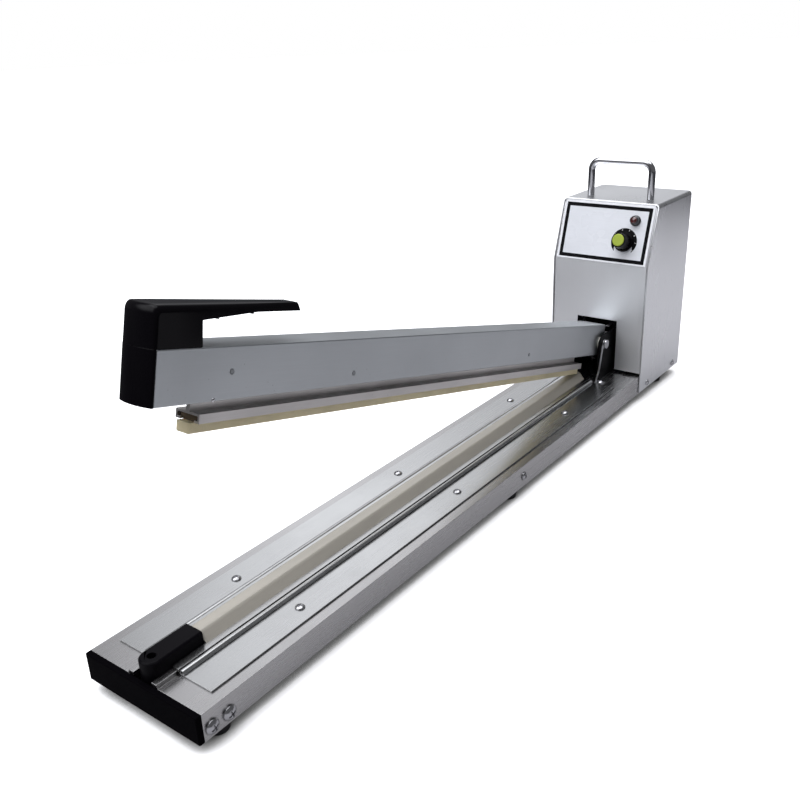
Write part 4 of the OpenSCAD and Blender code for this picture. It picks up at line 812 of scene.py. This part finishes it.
def build_insides():
    tones = finishes()
    dress("insulation_tape", layered_finish("glass tape", GLASS_TAPE, 260))
    dress("transformer_core", layered_finish("laminations", LAMINATIONS, 900, 0.6), 0.2*MM)
    dress("transformer_coil", layered_finish("winding", WINDING, 500), 0.8*MM, 3)
    dress("timer_board", layered_finish("circuit board", BOARD, 90), 0.1*MM)
    dress("board_parts", moulded_finish("board parts", shade(tones.black, 2.0), 0.4), 0.3*MM)


def build_cloth():
    """The cloth over the bed as a stretched sheet with faint waves."""
    size = sizes()
    low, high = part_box("ptfe_cloth")
    lip_top = low.z + CLOTH_LIFT
    top = high.z
    profile = [(-size.cloth_flat, lip_top), (-size.cloth_foot - CLOTH_CREASE[0], lip_top),
               (-size.cloth_foot, lip_top + CLOTH_CREASE[1])]
    for i in range(1, CLOTH_SLOPE):
        t = i/CLOTH_SLOPE
        x = size.cloth_foot + (size.cloth_ridge - size.cloth_foot)*t
        profile.append((-x, lip_top + (top - lip_top)*t))
    profile += [(-x, top - drop) for x, drop in CLOTH_CROWN]
    profile = profile + [(0.0, top)] + [(-x, z) for x, z in reversed(profile)]
    count = len(profile)
    points = []
    for row in range(CLOTH_ROWS + 1):
        y = low.y + (high.y - low.y)*row/CLOTH_ROWS
        for x, z in profile:
            t = (z - lip_top)/(top - lip_top)
            free = max(0.0, math.sin(math.pi*min(1.0, max(0.0, t))))
            wave = rugged((x*3, y, 0), 60, 3.0) + 0.5*rugged((x*3, y, 0), 160, 8.0)
            shift = -abs(wave)*size.cloth_wave*free*2.0
            points.append((x + math.copysign(shift, x) if x else x, y,
                           z + shift*0.5 - CLOTH_SAG*abs(wave)))
    faces = [(row*count + i, row*count + i + 1, (row + 1)*count + i + 1, (row + 1)*count + i)
             for row in range(CLOTH_ROWS) for i in range(count - 1)]
    material = cloth_finish("coated cloth", finishes().cloth)
    piece = add_piece("bed_cloth", mesh_from("bed_cloth", points, faces), material, "base")
    thickness = piece.modifiers.new("Thickness", "SOLIDIFY")
    thickness.thickness = CLOTH_THICK
    thickness.offset = -1.0
    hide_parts("ptfe_cloth")


def build_silicone():
    """The silicone strip as a cut moulding, slightly uneven along its length."""
    size = sizes()
    matrix = arm_matrix()
    corners = corners_in("silicone_strip", matrix)
    low, high = span(corners)
    end_high = span([point for point in corners if point.y < low.y + NEAR])[1]
    half, top = end_high.x, end_high.z
    head_low, head_high = span([point for point in corners if point.x > half + NEAR])
    bottom = low.z
    corner = size.pad_corner
    steps = 5
    arc = [circle_point((half - corner, bottom + corner), corner,
                        (i/steps - 1)*math.pi/2) for i in range(steps + 1)]
    right = [(half/3, bottom)] + arc + [(half, (top + bottom)/2), (half, top)]
    outline = [(-x, z) for x, z in reversed(right)] + right
    stations = sorted({*STRIP_ENDS, *(i/STRIP_ROWS for i in range(1, STRIP_ROWS))})
    rings = []
    for t in stations:
        y = low.y + (high.y - low.y)*t
        squeeze = STRIP_ENDS.get(t, 1.0)
        lift = (1 - squeeze)*corner*2
        ring = []
        for x, z in outline:
            uneven = rugged((x*4, y, z*4), 45, 5.0)*size.pad_wave
            raised = lift if z < bottom + corner*2 else 0.0
            ring.append((x*squeeze + uneven, y, z + abs(uneven) + raised))
        rings.append(ring)
    points, faces = skin_rings(rings)
    side = [(half, top - corner), (half, head_low.z), (head_high.x, head_low.z),
            (head_high.x, head_high.z)]
    section = side + [(-x, z) for x, z in reversed(side)]
    head_points, head_faces = skin_rings([[(x, y, z) for x, z in section]
                                          for y in (head_low.y - size.head_out, head_high.y)])
    # The head, reaching further forward by head_out, is coloured with painted shade: dark brown
    # where the cream silicone lies in the shade of the holder's channel.
    add_piece("silicone_head", mesh_from("silicone_head", head_points, head_faces, matrix),
              silicone_finish("silicone in painted shade", finishes().silicone_painted_shade), "press_bar",
              smooth=False)
    piece = add_piece("silicone_pad", mesh_from("silicone_pad", points, faces, matrix),
                      silicone_finish("silicone", finishes().silicone), "press_bar")
    soften(piece, 0.25*MM, 2, PAD_EDGE_ANGLE)
    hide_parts("silicone_strip")


def rounding(past, radius):
    """Drop of a rounded edge at a place that lies past its start."""
    past = min(radius, max(0.0, past))
    return radius - math.sqrt(radius**2 - past**2)


def grip_section(size, box, place, hollow):
    """Side view of the grip: distance from its front and height over its foot."""
    long_in, high, half = box
    x, setback = place
    front_top = high - size.grip_rise
    tip_low = high - size.grip_tip
    fade = 3*size.grip_roll
    points = [(0.0, 0.0)]
    for step in range(9):
        turn = step*math.pi/16
        points.append((size.grip_roll*(1 - math.cos(turn)),
                       front_top - size.grip_roll_down*(1 - math.sin(turn))))
    points.append((fade, front_top + size.grip_rise*fade/long_in))
    points = [(along + setback*max(0.0, 1 - along/fade), up) for along, up in points]
    points += [(long_in - back, high - drop) for back, drop in GRIP_NOSE]
    points.append((long_in, tip_low))
    root = size.grip_block
    bend = root + size.grip_bend
    inner = root + size.grip_wall
    rim = long_in - GRIP_RIM
    roof = front_top - size.grip_wall
    bend_low = size.grip_gap + (tip_low - size.grip_gap)*GRIP_BEND_SHARE
    rim_low = bend_low + (tip_low - bend_low)*(rim - bend)/(long_in - bend)
    inner_low = size.grip_gap + (bend_low - size.grip_gap)*(inner - root)/(bend - root)
    top = []
    for along, up in points:
        radius = size.grip_shoulder*(1 - 0.7*min(1.0, along/long_in))
        amount = max(0.0, 1 - max(0.0, front_top - up)/(2*size.grip_roll_down))
        if along > root:
            amount = float(up > tip_low + GRIP_NOSE_LOW)
        top.append((along, up - amount*rounding(abs(x) - half + radius, radius)))
    if hollow:
        under = [(rim, roof), (bend, roof), (inner, roof)]
    else:
        under = [(rim, rim_low), (bend, bend_low), (inner, inner_low)]
    return [*top, (rim, rim_low), *under, (inner, inner_low), (root, size.grip_gap), (root, 0.0)]


def grip_stations(size, half):
    """Places across the grip, the set-in of its bowed front there, and whether it is hollow."""
    inside = half - size.grip_wall
    places = [x*inside/6 for x in range(7)]
    places += [inside + size.grip_wall*math.sin(math.radians(turn))
               for turn in (12, 24, 36, 48, 60, 75, 90)]
    right = []
    for x in places:
        bow = size.grip_bow - math.sqrt(size.grip_bow**2 - x**2)
        edge = rounding(x - half + size.grip_edge, size.grip_edge)
        right.append((x, bow + edge, x < inside - NEAR))
    wall = next(i for i, station in enumerate(right) if not station[2])
    right.insert(wall, (*right[wall][:2], True))
    return [(-x, setback, hollow) for x, setback, hollow in reversed(right[1:])] + right


def build_grip():
    """The moulded grip: a bowed block and a hollow tail that narrows towards its tip."""
    size = sizes()
    matrix = arm_matrix()
    low, high = span(corners_in("arm_grip", matrix))
    front, foot, half = low.y, low.z, high.x
    tall = high.z - foot
    long_in = high.y - front + size.grip_reach
    rings = []
    for x, setback, hollow in grip_stations(size, half):
        rings.append([(x, front + along, foot + up) for along, up in
                      grip_section(size, (long_in, tall, half), (x, setback), hollow)])
    work = bmesh.new()
    work.from_mesh(mesh_from("grip_rings", *skin_rings(rings)))
    bmesh.ops.remove_doubles(work, verts=work.verts, dist=2*WELD)
    rib_top = foot + tall - RIB_TOP
    for reach in GRIP_RIBS:
        rib_low = foot + size.grip_gap + RIB_SLOPE*reach - RIB_FOOT
        rib = bmesh.ops.create_cube(work, size=1.0)["verts"]
        bmesh.ops.scale(work, verts=rib, vec=(2*(half - size.grip_wall + RIB_SINK), RIB_THICK,
                                              rib_top - rib_low))
        bmesh.ops.translate(work, verts=rib, vec=(0, front + size.grip_block + reach,
                                                  (rib_top + rib_low)/2))
    cuts = [((0, front + long_in*i/GRIP_CUTS, 0), (0, 1, 0)) for i in range(2, GRIP_CUTS)]
    cuts += [((0, 0, foot + tall*i/GRIP_LAYERS), (0, 0, 1)) for i in range(1, GRIP_LAYERS)]
    for spot, normal in cuts:
        bmesh.ops.bisect_plane(work, geom=work.verts[:] + work.edges[:] + work.faces[:],
                               dist=0.1*WELD, plane_co=spot, plane_no=normal)
    for vertex in work.verts:
        place = vertex.co
        share_in = (place.y - front)/long_in*(place.z - foot)/tall
        place.x *= 1 - size.grip_taper*share_in
        place.z -= size.grip_fall*share_in
    work.transform(matrix)
    bmesh.ops.recalc_face_normals(work, faces=work.faces)
    mesh = bpy.data.meshes.new("grip_moulding")
    work.to_mesh(mesh)
    work.free()
    gloss = moulded_finish("grip moulding", finishes().black, 0.17, 0.05, dust=0.03,
                           shine=0.10)
    piece = add_piece("grip_moulding", mesh, gloss, "arm")
    round_edges(piece, 0.4*MM, 3)
    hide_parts("arm_grip")


def build_pins():
    """The two bright pins near the arm's lower front edge, one in each side."""
    size = sizes()
    matrix = arm_matrix()
    points, faces = [], []
    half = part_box("arm_tube")[1].x
    centre = (-PIN_SPOT[0], PIN_SPOT[1])
    for side in (-1, 1):
        rings = []
        for step in range(5):
            lift = math.radians(step*22)
            x = side*(half - PIN_SINK + PIN_CROWN*size.pin_radius*math.sin(lift))
            radius = size.pin_radius*math.cos(lift)
            rings.append([(x, *circle_point(centre, radius, 2*math.pi*i/PIN_SIDES))
                          for i in range(PIN_SIDES)])
        more_points, more_faces = skin_rings(rings)
        faces += [tuple(len(points) + index for index in face) for face in more_faces]
        points += more_points
    add_piece("arm_pins", mesh_from("arm_pins", points, faces, matrix),
              plated_finish("pin plating", finishes().chrome, 0.15), "arm")


def build_springs():
    """The coils over the press bar, as a copy of the frame's springs that moves with the arm."""
    mesh = NODES["bar_springs"].data.copy()
    mesh.materials.clear()
    piece = add_piece("bar_coils", mesh,
                      plated_finish("coil steel", shade(finishes().zinc, 0.7), 0.25), "arm")
    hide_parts("bar_springs")
    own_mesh(piece)


def inset_corners(plate, across, up):
    """Corners of a rectangle that is set in from the plate's sides and from its top."""
    low, high = plate
    return [(low.x + across, low.y + up), (high.x - across, low.y + up),
            (high.x - across, high.y - up), (low.x + across, high.y - up)]


def build_label():
    """Plate finish, the black line round it, the dial's crescent and its numbers."""
    size = sizes()
    tones = finishes()
    matrix = panel_matrix()
    plate = span(corners_in("label_plate", matrix))
    levels = (PRINT_FOOT, size.print_rise)
    band = size.line_width
    outer = inset_corners(plate, size.line_side, size.line_top)
    inner = inset_corners(plate, size.line_side + band, size.line_top + band)
    dress("label_plate",
          plate_finish("label plate", tones.plate, tones.border,
                       (inner[1][0] - inner[0][0] + band)/2,
                       (inner[2][1] - inner[1][1] + band)/2), 0.12*MM)
    black = print_finish("black print", tones.print_black)
    white = print_finish("white print", tones.print_white, 0.45)
    add_piece("label_line", ribbon_slab("label_line", inner, outer, levels, matrix, True),
              black, "base", smooth=False)
    arc_out, arc_in = [], []
    for i in range(DIAL_STEPS + 1):
        t = i/DIAL_STEPS
        angle = math.pi - DIAL_TIP + (2*DIAL_TIP - math.pi)*t
        thick = min(1.0, min(t, 1 - t)*DIAL_SWELL)**0.8
        radius = size.dial_radius - (size.dial_radius - size.dial_inner)*thick
        arc_out.append(circle_point((0, 0), size.dial_radius, angle))
        arc_in.append(circle_point((0, 0), radius*0.999, angle))
    add_piece("dial_print", ribbon_slab("dial_print", arc_in, arc_out, levels, matrix, False),
              black, "base", smooth=False)
    build_numbers(matrix, white, size.dial_numbers, size.print_rise)


def build_numbers(matrix, material, count, height):
    """Small numbers round the dial, joined into one thin piece."""
    work = bmesh.new()
    for index in range(count):
        angle = math.radians(NUMBER_START - index*NUMBER_SWEEP/(count - 1))
        letter = bpy.data.curves.new("number", "FONT")
        letter.body = str(index + 1)
        letter.size = NUMBER_SIZE
        letter.extrude = NUMBER_RISE
        letter.align_x = "CENTER"
        letter.align_y = "CENTER"
        holder = bpy.data.objects.new("number", letter)
        bpy.context.scene.collection.objects.link(holder)
        bpy.context.view_layer.update()
        graph = bpy.context.evaluated_depsgraph_get()
        shape = bpy.data.meshes.new_from_object(holder.evaluated_get(graph))
        spot = Vector((*circle_point((0, 0), NUMBER_RADIUS, angle), height + NUMBER_RISE))
        turn = Matrix.Rotation(angle - math.pi/2, 4, "Z")
        shape.transform(matrix @ Matrix.Translation(spot) @ turn)
        work.from_mesh(shape)
        bpy.data.objects.remove(holder)
        bpy.data.curves.remove(letter)
        bpy.data.meshes.remove(shape)
    mesh = bpy.data.meshes.new("dial_numbers")
    work.to_mesh(mesh)
    work.free()
    add_piece("dial_numbers", mesh, material, "base", smooth=False)


# Stage

# Lamps of the surroundings: setting, azimuth from straight back, height, full and outer angle
SOFT_LAMPS = (("overhead", 0, 88, 22, 40), ("key", -40, 42, 4, 34), ("fill", -150, 48, 10, 36),
              ("glint", -45, 35, 3, 15), ("backdrop", -26, 24, 6, 28))


def build_floor():
    points, faces = [(0.0, 0.0, 0.0)], []
    for i in range(FLOOR_STEPS):
        points.append((*circle_point((0, 0), FLOOR_RADIUS, 2*math.pi*i/FLOOR_STEPS), 0.0))
        faces.append((0, i + 1, (i + 1) % FLOOR_STEPS + 1))
    mesh = mesh_from("floor", points, faces)
    floor = bpy.data.objects.new("floor", mesh)
    bpy.context.scene.collection.objects.link(floor)
    made = Finish("pale floor")
    settings = studio()
    cloud = made.noise(made.place(), 3, 2.0, 0.5)
    pale = made.blend(made.spread(cloud, 0.3, 0.7), tuple(settings.floor),
                      shade(settings.floor, 0.99))
    seen = made.node("ShaderNodeLightPath").outputs["Is Camera Ray"]
    away = made.node("ShaderNodeVectorMath", operation="LENGTH")
    made.join(made.place(FLOOR_STRETCH, shift=FLOOR_SHIFT), away.inputs[0])
    far = made.spread(away.outputs["Value"], *FLOOR_DARK, 0.0, 1.0, "SMOOTHSTEP")
    mirrored = made.blend(far, tuple(settings.floor_bounce), tuple(settings.floor_far))
    # Painted contact shadow: where pieces come close, the seen floor is painted black and loses
    # its glow.
    clear = made.crevices(settings.painted_contact_shadow, 8, 0.12, 0.78, "SMOOTHSTEP")
    pale = made.blend(clear, (0.0, 0.0, 0.0), pale)
    made.colour(made.blend(seen, mirrored, pale))
    glow = made.math("MULTIPLY", clear, settings.floor_glow)
    made.join(made.math("MULTIPLY", glow, seen), made.shader.inputs["Emission Strength"])
    made.set("Emission Color", (1.0, 1.0, 1.0, 1.0))
    made.set("Roughness", 0.9)
    made.set("Specular IOR Level", 0.0)
    mesh.materials.append(made.material)


def build_world():
    """Surroundings of large soft lamps in a dim room, plain white where the camera sees them."""
    settings = studio()
    world = bpy.data.worlds.new("studio air")
    bpy.context.scene.world = world
    world.use_nodes = True
    made = NodeWork(world.node_tree)
    way = made.node("ShaderNodeTexCoord").outputs["Generated"]
    light = settings.room
    for name, azimuth, height, full, outer in SOFT_LAMPS:
        turn = math.radians(azimuth)
        lift = math.radians(height)
        facing = made.node("ShaderNodeVectorMath", operation="DOT_PRODUCT")
        facing.inputs[1].default_value = (math.sin(turn)*math.cos(lift),
                                          math.cos(turn)*math.cos(lift), math.sin(lift))
        made.join(way, facing.inputs[0])
        lamp = made.spread(facing.outputs["Value"], math.cos(math.radians(outer)),
                           math.cos(math.radians(full)), 0.0, getattr(settings, name),
                           "SMOOTHSTEP")
        light = made.math("ADD", light, lamp)
    seen = made.node("ShaderNodeLightPath").outputs["Is Camera Ray"]
    ground = world.node_tree.nodes["Background"]
    made.join(made.blend(seen, tuple(settings.air), (1.0, 1.0, 1.0)), ground.inputs["Color"])
    made.join(made.math("MAXIMUM", light, seen), ground.inputs["Strength"])


def build_camera():
    settings = studio()
    az, el, roll = settings.azimuth, settings.elevation, settings.roll
    back = Vector((math.sin(az)*math.cos(el), -math.cos(az)*math.cos(el), math.sin(el)))
    level = Vector((math.cos(az), math.sin(az), 0.0))
    above = back.cross(level)
    right = level*math.cos(roll) + above*math.sin(roll)
    up = above*math.cos(roll) - level*math.sin(roll)
    data = bpy.data.cameras.new("camera")
    data.lens = settings.lens
    data.sensor_width = FILM_WIDTH
    data.sensor_fit = "HORIZONTAL"
    data.clip_start = 0.01
    data.clip_end = 60.0
    camera = bpy.data.objects.new("camera", data)
    bpy.context.scene.collection.objects.link(camera)
    turn = Matrix((right, up, back)).transposed().to_4x4()
    camera.matrix_world = Matrix.Translation(Vector(settings.camera_spot)) @ turn
    bpy.context.scene.camera = camera


def build_stage():
    bpy.context.scene.view_settings.view_transform = "Standard"
    build_floor()
    build_world()
    build_camera()


# Operators

class SEALER_OT_metalwork(bpy.types.Operator):
    """Finishes the aluminium and sheet metal pieces"""
    bl_idname = "sealer.metalwork"
    bl_label = "Metalwork"

    def execute(self, context):
        build_metalwork()
        return {"FINISHED"}


class SEALER_OT_fasteners(bpy.types.Operator):
    """Finishes screws, pins, springs, terminals and the carrying handle"""
    bl_idname = "sealer.fasteners"
    bl_label = "Fasteners and Fittings"

    def execute(self, context):
        build_fasteners()
        return {"FINISHED"}


class SEALER_OT_mouldings(bpy.types.Operator):
    """Finishes the plastic, rubber and painted pieces"""
    bl_idname = "sealer.mouldings"
    bl_label = "Mouldings"

    def execute(self, context):
        build_mouldings()
        return {"FINISHED"}


class SEALER_OT_insides(bpy.types.Operator):
    """Finishes the pieces inside the housing and under the cloth"""
    bl_idname = "sealer.insides"
    bl_label = "Insides"

    def execute(self, context):
        build_insides()
        return {"FINISHED"}


class SEALER_OT_cloth(bpy.types.Operator):
    """Lays the coated cloth over the sealing bed"""
    bl_idname = "sealer.cloth"
    bl_label = "Cloth"

    def execute(self, context):
        build_cloth()
        return {"FINISHED"}


class SEALER_OT_silicone(bpy.types.Operator):
    """Makes the silicone strip of the press bar"""
    bl_idname = "sealer.silicone"
    bl_label = "Silicone Strip"

    def execute(self, context):
        build_silicone()
        return {"FINISHED"}


class SEALER_OT_grip(bpy.types.Operator):
    """Moulds the grip on the arm"""
    bl_idname = "sealer.grip"
    bl_label = "Grip"

    def execute(self, context):
        build_grip()
        return {"FINISHED"}


class SEALER_OT_pins(bpy.types.Operator):
    """Sets the bright pins in the arm's sides"""
    bl_idname = "sealer.pins"
    bl_label = "Arm Pins"

    def execute(self, context):
        build_pins()
        return {"FINISHED"}


class SEALER_OT_springs(bpy.types.Operator):
    """Winds the coils over the press bar"""
    bl_idname = "sealer.springs"
    bl_label = "Press Bar Springs"

    def execute(self, context):
        build_springs()
        return {"FINISHED"}


class SEALER_OT_label(bpy.types.Operator):
    """Prints the plate on the housing: line, dial and numbers"""
    bl_idname = "sealer.label"
    bl_label = "Label Plate"

    def execute(self, context):
        build_label()
        return {"FINISHED"}


class SEALER_OT_stage(bpy.types.Operator):
    """Sets the floor, the lights and the camera"""
    bl_idname = "sealer.stage"
    bl_label = "Stage"

    def execute(self, context):
        build_stage()
        return {"FINISHED"}


OPERATORS = (SEALER_OT_metalwork, SEALER_OT_fasteners, SEALER_OT_mouldings,
             SEALER_OT_insides, SEALER_OT_cloth, SEALER_OT_silicone, SEALER_OT_grip,
             SEALER_OT_pins, SEALER_OT_springs, SEALER_OT_label, SEALER_OT_stage)


class SEALER_PT_panel(bpy.types.Panel):
    """Lists the pieces of the sealer, its stage and their settings"""
    bl_label = "Impulse Sealer"
    bl_idname = "SEALER_PT_panel"
    bl_space_type = "VIEW_3D"
    bl_region_type = "UI"
    bl_category = "Sealer"

    def draw(self, context):
        for operator in OPERATORS:
            self.layout.operator(operator.bl_idname)
        for group in (finishes(), sizes(), studio()):
            column = self.layout.box().column()
            for setting in group.__annotations__:
                column.prop(group, setting)


GROUPS = (SealerFinishes, SealerSizes, SealerStudio)


def register():
    for entry in (*GROUPS, *OPERATORS, SEALER_PT_panel):
        bpy.utils.register_class(entry)
    bpy.types.Scene.sealer_finishes = PointerProperty(type=SealerFinishes)
    bpy.types.Scene.sealer_sizes = PointerProperty(type=SealerSizes)
    bpy.types.Scene.sealer_studio = PointerProperty(type=SealerStudio)


def unregister():
    del bpy.types.Scene.sealer_studio
    del bpy.types.Scene.sealer_sizes
    del bpy.types.Scene.sealer_finishes
    for entry in reversed((*GROUPS, *OPERATORS, SEALER_PT_panel)):
        bpy.utils.unregister_class(entry)


def main():
    register()
    bpy.ops.sealer.stage()
    bpy.ops.sealer.metalwork()
    bpy.ops.sealer.fasteners()
    bpy.ops.sealer.mouldings()
    bpy.ops.sealer.insides()
    bpy.ops.sealer.cloth()
    bpy.ops.sealer.silicone()
    bpy.ops.sealer.grip()
    bpy.ops.sealer.pins()
    bpy.ops.sealer.springs()
    bpy.ops.sealer.label()


if __name__ == "__main__":
    main()
